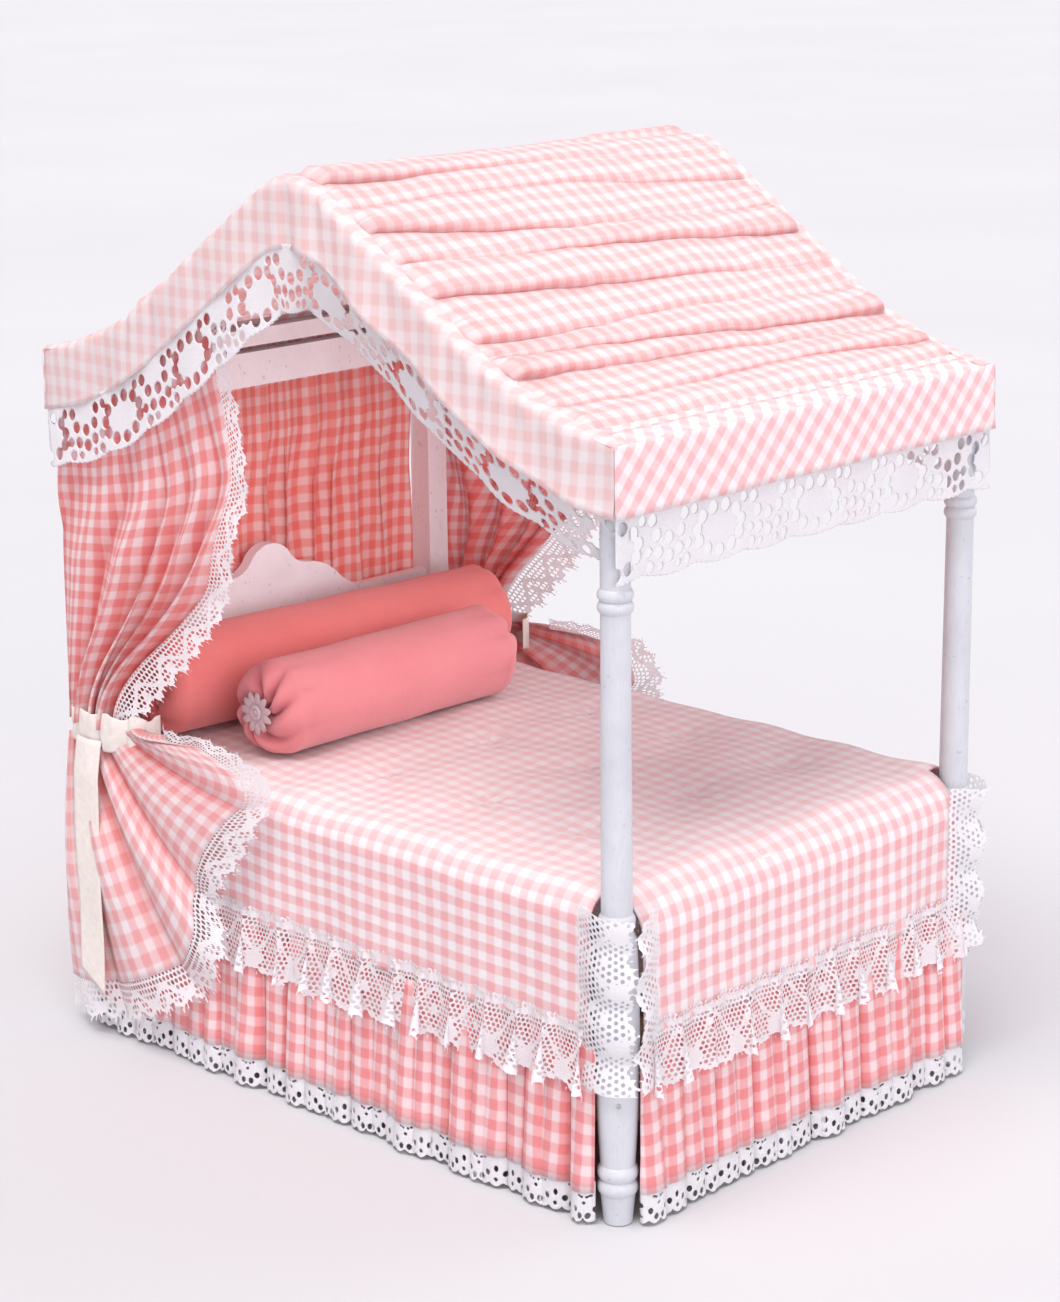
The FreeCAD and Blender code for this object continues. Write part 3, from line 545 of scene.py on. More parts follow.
def declare(u, v, area=None):
    """Works out a sheet's size as cut, at least LEAST_FLAT each way, and its area; nothing is kept or
    returned.
    """
    width, length = (max(float(np.max(way) - np.min(way)) * MM, LEAST_FLAT) for way in (u, v))
    if area is not None:
        area = min(max(area * MM * MM, LEAST_SHARE * width * length), width * length)


# ---------------------------------------------------------------- lace patterns


def away_from(u, v, holes, repeat):
    """Distance outside the nearest oval hole (u, v, half width, half height) of a repeating pattern."""
    nearest = np.full(u.shape, 9.0)
    for hole_u, hole_v, wide, tall in holes:
        across = (u - hole_u + repeat / 2) % repeat - repeat / 2
        reach = np.sqrt((across / wide) ** 2 + ((v - hole_v) / tall) ** 2)
        nearest = np.minimum(nearest, (reach - 1) * min(wide, tall))
    return nearest


# The eyelet lace's holes between its rings: how far to each side of the middle, how far down, and radius.
BETWEEN_RINGS = ((0.0, 6.9, 1.35), (3.3, 5.9, 1.35), (4.5, 2.9, 1.3), (7.3, 2.6, 1.1), (0.0, 10.3, 1.35),
                 (2.8, 9.3, 1.3), (5.5, 8.9, 1.1), (2.4, 12.1, 0.9), (5.0, 11.8, 1.15))


def eyelet_holes(repeat, depth):
    """Round holes in a ring about a solid oval, and more between: (u, v, half width, half height)."""
    unit = depth / 14.0
    in_ring = 11
    holes = []
    for k in range(in_ring):
        angle = math.pi / 2 + 2 * math.pi * k / in_ring
        holes.append((6.4 * math.cos(angle), (7.4 + 4.35 * math.sin(angle)) * unit, 1.46, 1.4 * unit))
    for off, v, size in BETWEEN_RINGS:
        holes += [(repeat / 2 + way * off, v * unit, size, size * unit) for way in (-1, 1)]
    return holes


def broderie(repeat, depth):
    """The canopy's eyelet lace: solid ovals among round holes, with a scalloped edge."""
    holes = eyelet_holes(repeat, depth)

    def pattern(u, v):
        edge = depth - 1.0 + 0.85 * np.abs(np.cos(2 * math.pi * u / repeat)) + 0.16 * np.sin(u * 4.2)
        return np.minimum(away_from(u, v, holes, repeat), edge - v)

    return pattern


def bobbin(depth, repeat, heading=0.0, net=1.18):
    """Net lace: open holes, a winding solid leaf with flowers, and a scalloped edge of tiny spikes."""

    def pattern(u, v):
        rise = net * math.sqrt(3)
        even_rows = np.hypot(u - net * np.round(u / net), v - rise * np.round(v / rise))
        odd_u = u - net * (np.floor(u / net) + 0.5)
        odd_rows = np.hypot(odd_u, v - rise * (np.floor(v / rise) + 0.5))
        ground = np.minimum(even_rows, odd_rows) - 0.42
        turn = 2 * math.pi * u / repeat
        leaf = 0.45 - np.abs(v - depth * (0.44 + 0.17 * np.sin(turn)))
        across = (u - 0.25 * repeat + repeat / 2) % repeat - repeat / 2
        flower = 0.13 * depth + 0.3 * np.cos(5 * np.arctan2(v - 0.74 * depth, across))
        flower = flower - np.hypot(across, v - 0.74 * depth)
        bud = 0.9 - np.hypot((u - 0.75 * repeat + repeat / 2) % repeat - repeat / 2, v - 0.55 * depth)
        edge = depth - 1.3 + 0.65 * np.cos(2 * turn)
        border = 0.34 - np.abs(v - edge + 0.7)
        solid = np.maximum.reduce([ground, leaf, flower, bud, border])
        spikes = edge + 1.25 * np.maximum(0, np.cos(2 * math.pi * u / 1.5)) ** 2
        top = 0.35 + 0.35 * np.cos(2 * math.pi * u / 1.7) if heading else -1.0
        band = 0.5 - np.abs(v - heading) if heading else -1.0
        return np.minimum.reduce([np.maximum(solid, band), spikes - v, v - top])

    return pattern


def floor_edging(depth, repeat):
    """The dust ruffle's edging: a close band, then fans of large holes with looped edges."""
    middle = repeat / 2
    cord = 0.16  # how much the thread round each hole closes it
    holes = [(middle, 0.52, 0.55, 0.55), (0.0, 0.56, 0.6, 1.0), (0.0, 0.82, 0.55, 0.7)]
    holes = [(u, share * depth, wide, tall) for u, share, wide, tall in holes]
    for angle in (-68, -23, 23, 68):
        turn = math.radians(angle)
        reach_u, reach_v = 2.05 * math.sin(turn), 0.27 * depth * math.cos(turn)
        holes.append((middle + reach_u, 0.58 * depth + reach_v, 0.68, 0.95))
        holes.append((middle + 0.6 * reach_u, 0.33 * depth + 0.2 * reach_v, 0.46, 0.5))

    def pattern(u, v):
        edge = depth - 1.1 + 0.9 * np.abs(np.cos(math.pi * u / (repeat / 3))) ** 0.7
        return np.minimum(away_from(u, v, holes, repeat) + cord, edge - v)

    return pattern


# ---------------------------------------------------------------- folds


def folds(length, pitch, seed, uneven=0.25, per_fold=12):
    """Samples along a gathered edge: how far along each is, and its phase counted in folds."""
    rng = np.random.default_rng(seed)
    count = max(2, round(length / pitch))
    widths = 1 + uneven * rng.uniform(-1, 1, count)
    edges = np.concatenate([[0], np.cumsum(widths)]) * length / widths.sum()
    phase = np.linspace(0, count, count * per_fold + 1)
    return np.interp(phase, np.arange(count + 1), edges), phase


def each_fold(phase, seed, spread):
    """A size for each fold, about 1, changing smoothly from one to the next."""
    sizes = 1 + spread * np.random.default_rng(seed).uniform(-1, 1, int(phase[-1]) + 2)
    return np.interp(phase, np.arange(len(sizes)) - 0.5, sizes)


def pleat(phase, sharp=0.55):
    """The section of a row of pleats, from 0 in the creases to 1 on the rounded folds."""
    return np.abs(np.sin(math.pi * phase)) ** sharp


def panel(start, direction, outward, along, out, height):
    """Points of an upright panel: how far along it, how far out, and how high."""
    along, out, height = np.broadcast_arrays(along, out, height)
    place = np.array(start) + along[..., None] * np.array(direction) + out[..., None] * np.array(outward)
    return np.concatenate([place, height[..., None]], axis=-1)


# ---------------------------------------------------------------- driving places, from the frame

SIDES = {-1: "left", 1: "right"}
ENDS = {-1: "foot", 1: "head"}
coverlet_low, coverlet_high = box_mm("coverlet")
roof_side = box_mm("roof_cloth")[1][0]
post_low, post_high = box_mm("foot_post_left")
foot_band_low, foot_band_high = box_mm("band_foot")
lace_low, lace_high = box_mm("valance_lace_foot")
bed_side = coverlet_high[0]
bed_foot = -coverlet_low[1]
bed_head = coverlet_high[1]
bed_top = coverlet_high[2]
hem = coverlet_low[2]
post_axis = (post_low + post_high) / 2
slit_x = -post_high[0]
slit_y = -post_high[1]

# The three panels round the bed: start (x, y), direction along, outward, length.
SIDE_LENGTH = bed_head + slit_y
PANELS = {
    "left": ((0.0, bed_head), (0.0, -1.0), (-1.0, 0.0), SIDE_LENGTH),
    "foot": ((-slit_x, 0.0), (1.0, 0.0), (0.0, -1.0), 2 * slit_x),
    "right": ((0.0, -slit_y), (0.0, 1.0), (1.0, 0.0), SIDE_LENGTH),
}
FOOT_EXTRA = bed_foot - bed_side  # how much further out the foot stands than the sides, from the middle


def outset(where, out):
    """The same offset from the bed, measured from the middle of the bed."""
    return out + (FOOT_EXTRA if where == "foot" else 0.0)


# ---------------------------------------------------------------- the canopy

EAVES = foot_band_high[2]  # the canopy's line at its two ends
BAND_DROP = foot_band_high[2] - foot_band_low[2]
SPAN = 85.0  # from the ridge to each end
LIP = math.radians(8.0)
SLOPE = math.radians(34.0)
HOLLOW = 92.0  # the radius of the hollow above the eaves
RIDGE = 17.0  # and of the rounded ridge
SIDE_BOW = 2.4
SEAM = 3.4  # how far the side strips reach in over the roof
END_SEAM = 7.5  # and the end strips


def canopy_line(count):
    """The canopy's ogee from the foot to the head, evenly spaced (y, z): hollow arc, slope, round ridge."""
    turns = np.linspace(LIP, SLOPE, 24)
    hollow = np.stack([HOLLOW * (np.sin(turns) - math.sin(LIP)), HOLLOW * (math.cos(LIP) - np.cos(turns))], 1)
    hollow += (-SPAN, EAVES)
    flat_run = SPAN - HOLLOW * (math.sin(SLOPE) - math.sin(LIP)) - RIDGE * math.sin(SLOPE)
    top = hollow[-1] + (flat_run, flat_run * math.tan(SLOPE))
    turns = np.linspace(SLOPE, 0, 16)
    ridge = np.stack([math.sin(SLOPE) - np.sin(turns), np.cos(turns) - math.cos(SLOPE)], 1)
    half = np.vstack([hollow, RIDGE * ridge + top])
    whole = np.vstack([half, (half * (-1, 1))[::-1][1:]])
    return even(whole, count)


def upward(line):
    """Unit normals above a line of (y, z)."""
    along = np.gradient(line, axis=0)
    along /= np.linalg.norm(along, axis=1)[:, None]
    return np.stack([-along[:, 1], along[:, 0]], axis=1)


def bow(y):
    """How far the canopy's sides bow out between their ends."""
    return SIDE_BOW * (1 - (y / SPAN) ** 2)


# Creases across the roof, as distances from the ridge at the left and right side, and their depths there.
FOOT_CREASES = (
    (5, 11, 2.6, 0.2), (12, 17, 0.8, 1.6), (20, 27, 2.9, 0.3), (27, 33, 1.0, 3.0), (36, 42, 3.0, 1.2),
    (46, 50, 2.2, 0.3), (51, 58, 1.6, 3.2), (57, 63, 3.2, 0.5), (66, 70, 1.0, 2.2),
)
HEAD_CREASES = (
    (8, 5, 0.8, 2.4), (17, 13, 2.8, 0.4), (26, 27, 0.5, 2.7), (37, 33, 2.9, 1.0), (44, 47, 1.0, 2.6),
    (54, 56, 3.1, 0.6), (65, 63, 0.9, 2.3),
)


def roof():
    """The canopy's top: one piece of gingham gathered into both side seams, its folds running across."""
    line = canopy_line(480)
    normal = upward(line)
    along = travelled(line)[:, None]
    half = roof_side - SEAM + 1.0
    across = np.linspace(-1, 1, 141)
    across = (np.sin(across * math.pi / 2) * 0.4 + across * 0.6)[None, :]
    to_seam = half * (1 - np.abs(across))
    share = (1 + across) / 2
    from_ridge = np.abs(line[:, :1])
    last = SPAN - END_SEAM
    fold = np.zeros((len(line), across.shape[1]))
    slide = np.zeros_like(fold)
    crease = np.zeros_like(fold)
    for slope, places in ((-1, FOOT_CREASES), (1, HEAD_CREASES)):
        on_slope = (np.sign(line[:, :1] + 1e-6) * np.ones_like(across)) == slope
        creases = [(-8.0, -8.0, 0, 0), *places, (last, last, 1.4, 1.4)]
        for k, (above, below) in enumerate(zip(creases, creases[1:])):
            bent = [1.3 * wander(80 + slope * 20 + k + n, 2.6)(across) for n in (0, 1)]
            upper = above[0] * (1 - share) + above[1] * share + bent[0] * (k > 0)
            lower = below[0] * (1 - share) + below[1] * share + bent[1] * (k + 2 < len(creases))
            lower = np.maximum(lower, upper + 3.0)
            place = (from_ridge - upper) / (lower - upper)
            size = below[2] * (1 - share) ** 1.3 + below[3] * share**1.3
            size = size * (0.8 + 0.2 * wander(60 + slope * 9 + k, 1.4)(across))
            puffed = np.sin(math.pi / 2 * np.clip(place, 0, 1) ** 0.7)
            edge = np.clip((1 - place) * (lower - upper) / 1.5, 0, 1) ** 0.6
            here = on_slope & (place >= 0) & (place < 1)
            fold = np.where(here, size * puffed * edge, fold)
            slide = np.where(here, slope * 0.8 * size * np.clip(place, 0, 1) ** 2 * edge, slide)
            near = np.abs(from_ridge - lower) / (0.5 + 0.35 * size)
            # Painted shade along each crease across the roof.
            crease = np.maximum(crease, on_slope * np.exp(-near) * np.clip(size / 1.6, 0, 1))
    gather = np.abs(np.sin(math.pi * (along / 3.6 + 0.9 * wander(38, 15)(along)))) ** 0.55
    tuck = gather * np.exp(-to_seam / 6.5) * (0.85 + 0.6 * wander(39, 26)(along))
    # Painted shade between the small gathers at the side seams.
    crease = np.maximum(crease, 0.9 * (1 - gather) ** 1.5 * np.exp(-to_seam / 5.0))
    crown = 0.6 * (1 - np.abs(across) ** 2.2)
    ends = np.clip((last - from_ridge) / 5.0, 0, 1)
    ends = ends * ends * (3 - 2 * ends)
    seam = np.clip(to_seam / 2.2, 0, 1) ** 0.5
    soft = 0.3 * ripple(52, 20)(across * half, along)
    lift = 0.5 + (crown + fold + tuck + soft) * ends * seam
    downhill = np.stack([normal[:, 1], -normal[:, 0]], axis=1)
    points = np.empty((len(line), across.shape[1], 3))
    points[..., 0] = across * (half + bow(line[:, :1]) * np.abs(across))
    points[..., 1:] = line[:, None, :] + lift[..., None] * normal[:, None, :]
    points[..., 1:] += (slide * ends * seam)[..., None] * downhill[:, None, :]
    u = np.broadcast_to(across * half, fold.shape)
    v = np.broadcast_to(along * 1.1, fold.shape) + 0.8 * fold + 0.5 * ripple(53, 40)(u, along)
    crease = 0.5 * crease * np.clip((last - from_ridge) / 3.0, 0, 1)
    made = cloth("canopy_roof", points, u, v, ROOF, thickness=0.35, crease=crease)
    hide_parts("roof_cloth")
    declare(u, v)


def side_band(side, seed):
    """A side strip of straight gingham, cut to the canopy's line: over the edge from its seam, then down."""
    name = SIDES[side]
    line = canopy_line(190)
    over = SEAM + 1.2
    depth = np.concatenate([np.linspace(-over, 0.0, 12), np.linspace(1.0, BAND_DROP, 11)])[:, None]
    y = line[:, 0][None, :]
    z = line[:, 1][None, :]
    turn = np.clip((depth + 1.8) / 2.6, 0, 1) * math.pi / 2
    level = np.clip(-depth - 1.8, 0, None)
    out = roof_side - 0.7 - level + 1.5 * np.sin(turn) + bow(y)
    high = np.where(depth < 0.8, z - 0.3 + 1.25 * np.cos(turn), z - 0.3 - (depth - 0.8))
    fall = np.clip(depth / BAND_DROP, 0, 1)
    flare = 0.9 * fall**2 * np.clip(-y / SPAN, 0, 1) + 0.7 * fall * wander(seed, 30)(y)
    pucker = 0.45 * np.exp(-np.abs(depth) / 6.0) * wander(seed + 1, 7)(y)
    high = high + 0.3 * wander(seed + 3, 5)(y) * np.clip(level / 2.0, 0, 1)
    pinch = -1.3 * np.exp(-((y / 2.6) ** 2)) * fall + 0.8 * np.exp(-(((y + 6) / 4) ** 2)) * fall
    rolled = 0.3 * np.clip((depth - BAND_DROP + 1.2) / 1.2, 0, 1)
    points = grid_of(side * (out + flare + pucker + pinch + rolled), y, high)
    u = np.broadcast_to(y, points.shape[:2])
    v = z + 0.8 - depth + 0.5 * wander(seed + 2, 60)(y)
    made = cloth(f"canopy_band_{name}", points, u, v, BAND, thickness=0.4)
    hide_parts(f"band_{name}")


def end_band(end, seed):
    """A flat strip across the foot or the head, cut on the slant of the gingham."""
    name = ENDS[end]
    half = foot_band_high[0] + 0.9
    x = np.linspace(-half, half, 111)[None, :]
    lie = np.linspace(-END_SEAM - 2.0, -1.6, 8)
    down = np.concatenate([lie, np.linspace(-1.2, 0.0, 5), np.linspace(0.8, BAND_DROP, 10)])[:, None]
    turn = np.clip((down + 1.2) / 1.9, 0, 1) * math.pi / 2
    level = np.clip(-down - 1.2, 0, None)
    out = SPAN - 0.6 + 1.0 * np.sin(turn) - level * math.cos(LIP)
    over = EAVES - 0.3 + 0.9 * np.cos(turn) + level * math.sin(LIP)
    z = np.where(down < 0.7, over, EAVES + 0.4 - down)
    for ridge, tall in ((END_SEAM - 0.8, 0.55), (3.6, 0.25)):
        z = z + tall * np.exp(-(((level - ridge) / 0.9) ** 2))
    fall = np.clip(down / BAND_DROP, 0, 1)
    wave = 0.3 * fall * wander(seed, 50)(x) + 0.12 * wander(seed + 1, 9)(x) * np.exp(-np.abs(down) / 2)
    rolled = 0.3 * np.clip(down - BAND_DROP + 1.0, 0, 1)
    points = grid_of(x, end * (out + wave + rolled), z)
    flat_x, flat_z = np.broadcast_arrays(x, down)
    slant = math.radians(41)
    u = flat_x * math.cos(slant) + flat_z * math.sin(slant)
    v = flat_x * math.sin(slant) - flat_z * math.cos(slant)
    made = cloth(f"canopy_band_{name}", points, u, v, BIAS, thickness=0.4)
    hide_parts(f"band_{name}")


EYELET_REPEAT = 27.6
EYELET_DEPTH = lace_high[2] - lace_low[2]


def hang_eyelet(name, points, u, down):
    """Eyelet lace with whole repeats on a grid of points below the canopy's strip of that name."""
    pattern = broderie(u[-1] / round(u[-1] / EYELET_REPEAT), EYELET_DEPTH)
    made, area = lace(f"valance_eyelet_{name}", points, u, down[:, 0], pattern, 0.42, thickness=0.35)
    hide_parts(f"valance_lace_{name}")
    declare(u, down, area)


def valance_side(side, seed):
    """Eyelet lace under a side strip: it hangs free over the head half and tucks in under the foot half."""
    edge = canopy_line(260) - (0.0, BAND_DROP - 1.5)
    inward = -upward(edge)
    down = np.linspace(0, EYELET_DEPTH, 12)[:, None]
    y = edge[:, 0][None, :]
    tuck = 0.5 + 0.5 * np.tanh((-y - 4.0) / 9.0)
    lean = np.radians(-7 + 31 * tuck) * side * -1
    wave = 0.55 * wander(seed, 26)(y) * down / EYELET_DEPTH
    out = side * (roof_side + 0.5 + bow(y)) + down * np.sin(lean) + side * wave
    fall = down * np.cos(lean)
    points = np.empty((len(down), edge.shape[0], 3))
    points[..., 0] = out
    points[..., 1:] = edge[None] + fall[..., None] * inward[None]
    hang_eyelet(SIDES[side], points, travelled(edge), down)


def valance_end(end, seed):
    """Eyelet lace under the foot or head strip."""
    x = np.linspace(-foot_band_high[0] - 0.3, foot_band_high[0] + 0.3, 200)[None, :]
    down = np.linspace(0, EYELET_DEPTH, 12)[:, None]
    wave = 0.5 * wander(seed, 30)(x) * down / EYELET_DEPTH
    y = end * (SPAN + (0.3 if end > 0 else -0.1) + wave)
    points = grid_of(x, y, lace_high[2] - down)
    hang_eyelet(ENDS[end], points, x[0] - x[0, 0], down)


# ---------------------------------------------------------------- the coverlet


def over_edge(place, flat, radius):
    """How far out and down a point of cloth is, place millimetres from the middle, going over an edge."""
    size = np.abs(place)
    start = flat - radius
    turn = np.clip((size - start) / radius, 0, math.pi / 2)
    past = np.maximum(size - start - radius * math.pi / 2, 0)
    out = np.minimum(size, start) + radius * np.sin(turn)
    down = radius * (1 - np.cos(turn)) + past
    return np.sign(place) * out, down


TUFTS = [(x, y) for y in (-52.0, -22.0, 8.0) for x in (-30.0, 2.0, 33.0)]


def coverlet():
    """The coverlet: one cross-shaped cut over the mattress and down three sides, lightly tufted."""
    side_radius, foot_radius = 5.5, 9.0
    drop = bed_top - hem
    half_cut = bed_side + drop + side_radius * (math.pi / 2 - 2) + 0.4
    foot_cut = bed_foot + drop + foot_radius * (math.pi / 2 - 2) + 0.4
    step = 1.15
    notch_u = slit_x + 0.6
    notch_v = -(slit_y + 0.4)

    def spaced(stops):
        parts = [np.linspace(a, b, max(2, round((b - a) / step)), endpoint=False)
                 for a, b in zip(stops, stops[1:])]
        return np.concatenate(parts + [[stops[-1]]])

    u = spaced([-half_cut, -notch_u, notch_u, half_cut])
    v = spaced([-foot_cut, notch_v, bed_head])
    grid_u, grid_v = np.meshgrid(u, v)
    x, down_side = over_edge(grid_u, bed_side, side_radius)
    y, down_foot = over_edge(np.minimum(grid_v, 0), bed_foot, foot_radius)
    y = np.where(grid_v > 0, grid_v, y)
    down = down_side + down_foot
    top = np.clip(1 - down / 6.0, 0, 1)
    crown = 1.3 * np.clip(1 - (grid_u / bed_side) ** 2, 0, 1) * np.clip((grid_v + bed_foot) / 30, 0, 1)
    crown = crown + 0.45 * ripple(61, 30)(grid_u, grid_v)
    for tuft_x, tuft_y in TUFTS:
        away = np.hypot(x - tuft_x, y - tuft_y)
        turn = np.arctan2(y - tuft_y, x - tuft_x)
        crown = crown - 1.1 * np.exp(-away / 2.6) - 0.5 * np.exp(-((away / 9) ** 2))
        crown = crown + 0.3 * np.sin(7 * turn + tuft_x) * np.exp(-(((away - 4) / 3.2) ** 2))
    z = bed_top - down + top * crown
    hang = np.clip(down / drop, 0, 1)
    sway_side = hang * (0.45 * wander(62, 34)(grid_v) + 0.5)
    sway_foot = hang * (0.45 * wander(63, 30)(grid_u) + 0.4)
    x = x + np.sign(grid_u) * np.where(down_side > 1, sway_side, 0)
    y = y - np.where(down_foot > 1, sway_foot, 0)
    points = np.stack([x, y, z], axis=-1)
    middle_u = (u[1:] + u[:-1]) / 2
    middle_v = (v[1:] + v[:-1]) / 2
    keep = ~((np.abs(middle_u)[None, :] > notch_u) & (middle_v[:, None] < notch_v))
    made = cloth("gingham_coverlet", points, grid_u + 0.35 * ripple(64, 60)(grid_u, grid_v), grid_v, PALE,
                 keep=keep, thickness=0.6)
    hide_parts("coverlet")


def tube_faces(rings, around):
    """Faces between closed rings of points, one ring after another."""
    faces = []
    for near in range(0, (rings - 1) * around, around):
        far = near + around
        for k in range(around):
            after = (k + 1) % around
            faces.append([near + k, near + after, far + after, far + k])
    return faces


def quilt_pad():
    """The wadded mattress under the coverlet: rounded edges, sides pulled in a little."""
    low, high = box_mm("mattress")
    low, high = low + (1.0, 1.0, 0.2), high - (1.0, 0.6, 0.6)
    middle, size = (low + high) / 2, (high - low) / 2
    turns = np.linspace(0, 2 * math.pi, 97)[:-1]
    cosine, sine = np.cos(turns), np.sin(turns)
    corner = 0.25
    notch_y = -(slit_y - 1.0) - middle[1]
    level = np.linspace(-1, 1, 25)
    rows = []
    for height in level:
        shrink = (1 - abs(height) ** 5) ** 0.2 if abs(height) < 1 else 0.0
        inset = 0.97 + 0.03 * shrink
        x = np.sign(cosine) * np.abs(cosine) ** corner * size[0] * inset
        y = np.sign(sine) * np.abs(sine) ** corner * size[1] * inset
        y = np.where((y < notch_y) & (np.abs(x) > slit_x - 1.0), notch_y, y)
        rows.append(grid_of(x + middle[0], y + middle[1], middle[2] + height * size[2]))
    points = np.array(rows)
    bulge = 0.5 * ripple(71, 26)(points[..., 0], points[..., 1])
    points[..., 2] += np.where(np.abs(level)[:, None] == 1, 0.0, 0.25) * bulge
    count = len(turns)
    vertices = points.reshape(-1, 3).tolist()
    faces = tube_faces(len(level), count)
    for row, turn_over in ((0, True), (len(level) - 1, False)):
        ring = [row * count + k for k in range(count)]
        rim = np.array([vertices[k] for k in ring])
        centre = rim.mean(axis=0)
        before = ring
        for shrink in (0.8, 0.5, 0.2):
            start = len(vertices)
            inner = centre + (rim - centre) * shrink
            inner[:, 2] += 0.35 * ripple(72, 22)(inner[:, 0], inner[:, 1]) * (1 if not turn_over else -0.3)
            vertices += inner.tolist()
            now = list(range(start, start + count))
            for k in range(count):
                after = (k + 1) % count
                quad = [before[k], before[after], now[after], now[k]]
                faces.append(quad[::-1] if turn_over else quad)
            before = now
        faces.append(before[::-1] if turn_over else before)
    uv = np.array(vertices)[:, :2]
    made = mesh_object("quilt_pad", vertices, faces, uv, FELT, slot="wadding")
    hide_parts("mattress")


# ---------------------------------------------------------------- ruffles round the bed

ruffle_low, ruffle_high = box_mm("dust_ruffle_left")
RUFFLE_LOW = ruffle_low[2] + 0.7
RUFFLE_INSIDE = -ruffle_high[0] + 0.3
FLOOR_GAP = 0.25
CLOTH_ROWS = 14  # of a dust ruffle's grid; the rest is its lace
DUST_REPEAT = 7.2  # the lengths of the lace patterns' repeats
COVER_REPEAT = 13.5
SLIT_REPEAT = 12.0
CURTAIN_REPEAT = 11.0
LACE_HEADING = 2.3
COVER_LACE_LOW = box_mm("coverlet_lace_left")[0][2]
POST_CLEAR = -post_low[0] + 0.4  # a ruffle this far out passes in front of a foot post
POST_REACH = 3.0  # how far a ruffle's end does so
AT_POST = {"left": (0, 1), "foot": (1, 1), "right": (1, 0)}  # which ends of a panel stand beside a post


def past_post(where, share_along, length):
    """Places along a panel from 0 to 1, stretched past the posts at its ends, and how near each is to one."""
    before, after = (POST_REACH * end for end in AT_POST[where])
    along = -before + share_along * (length + before + after)
    near = np.maximum(AT_POST[where][0] * (1.5 - along), AT_POST[where][1] * (along - length + 1.5))
    return along, np.clip(near / 2.5, 0, 1)


def dust_ruffle(where, seed):
    """A pleated gingham ruffle from under the coverlet to near the floor, and its lace edging."""
    start, direction, outward, length = PANELS[where]
    along, phase = folds(1.0, 5.6 / length, seed, uneven=0.45, per_fold=18)
    along, near = past_post(where, along, length)
    size = each_fold(phase, seed + 1, 0.35)
    top = ruffle_high[2]
    in_lace = np.linspace(RUFFLE_LOW, FLOOR_GAP, 6)[1:]
    height = np.concatenate([np.linspace(top, RUFFLE_LOW, CLOTH_ROWS), in_lace])[:, None]
    fall = (top - height) / top
    base = outset(where, RUFFLE_INSIDE) + 0.4 * fall
    deep = (1.6 + 2.6 * fall) * size
    drift = 1.1 * wander(seed + 2, 13)(along) * fall
    slip = (0.9 + 0.6 * fall) * size * np.sin(2 * math.pi * phase)
    section = pleat(phase, 0.85)
    out = base + deep * section
    out = out * (1 - near) + np.maximum(out, outset(where, POST_CLEAR)) * near
    points = panel(start, direction, outward, along - slip + drift, out, height)
    u, v = measured(points)
    # Painted shade: deep in the pleats, and along the top under the coverlet's hem.
    crease = 1.1 * (1 - section) ** 0.9 * (1 - near) * (0.75 + 0.25 * fall) + 0.3 * np.exp(-fall / 0.3)
    made = cloth(f"dust_ruffle_{where}_cloth", points[:CLOTH_ROWS], u, v[:CLOTH_ROWS], SKIRT_IN_SHADE, thickness=0.25,
                 crease=crease[:CLOTH_ROWS])
    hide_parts(f"dust_ruffle_{where}")
    declare(u, v[:CLOTH_ROWS])
    below = v[CLOTH_ROWS - 2:] - v[CLOTH_ROWS - 2]
    grid = points[CLOTH_ROWS - 2:].copy()
    grid[..., :2] -= 0.3 * np.array(outward)
    pattern = floor_edging(below[-1], DUST_REPEAT)
    edging, area = lace(f"dust_edging_{where}", grid, u, below, pattern, 0.33, thickness=0.25)
    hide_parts(f"ruffle_lace_{where}")
    declare(u, below, area)


def coverlet_ruffle(where, seed):
    """Gathered net lace along the coverlet's hem, with a small frilled heading above its seam."""
    start, direction, outward, length = PANELS[where]
    along, phase = folds(length, 9.2, seed, uneven=0.3, per_fold=22)
    size = each_fold(phase, seed + 1, 0.35)
    top = hem + 1.6 + LACE_HEADING
    depth = top - COVER_LACE_LOW + 0.8
    down = np.linspace(0, depth, 18)[:, None]
    seam = np.abs(down - LACE_HEADING)
    below = np.clip((down - LACE_HEADING) / (depth - LACE_HEADING), 0, 1)
    above = np.clip((LACE_HEADING - down) / LACE_HEADING, 0, 1)
    deep = (0.6 + 2.3 * below**0.7 + 0.9 * above) * size
    slip = (0.5 + 2.5 * below**0.8 + 0.8 * above) * size * np.sin(2 * math.pi * phase)
    base = outset(where, bed_side + 0.9) + 1.0 * below + 0.3 * above
    fine = 0.3 * np.sin(2 * math.pi * 3.1 * phase) * np.exp(-seam / 2.5)
    curl = 0.8 * wander(seed + 5, 7)(along) * below**2
    out = base + deep * (0.5 + 0.5 * np.cos(2 * math.pi * phase)) + fine + curl
    sag = 1.1 * wander(seed + 3, 15)(along) * below + 0.5 * wander(seed + 4, 6)(along) * above
    points = panel(start, direction, outward, along - slip, out, top - down + sag)
    u, v = measured(points)
    made, area = lace(f"coverlet_frill_{where}", points, u, v, bobbin(v[-1], COVER_REPEAT, LACE_HEADING), 0.3)
    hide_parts(f"coverlet_lace_{where}")
    declare(u, v, area)


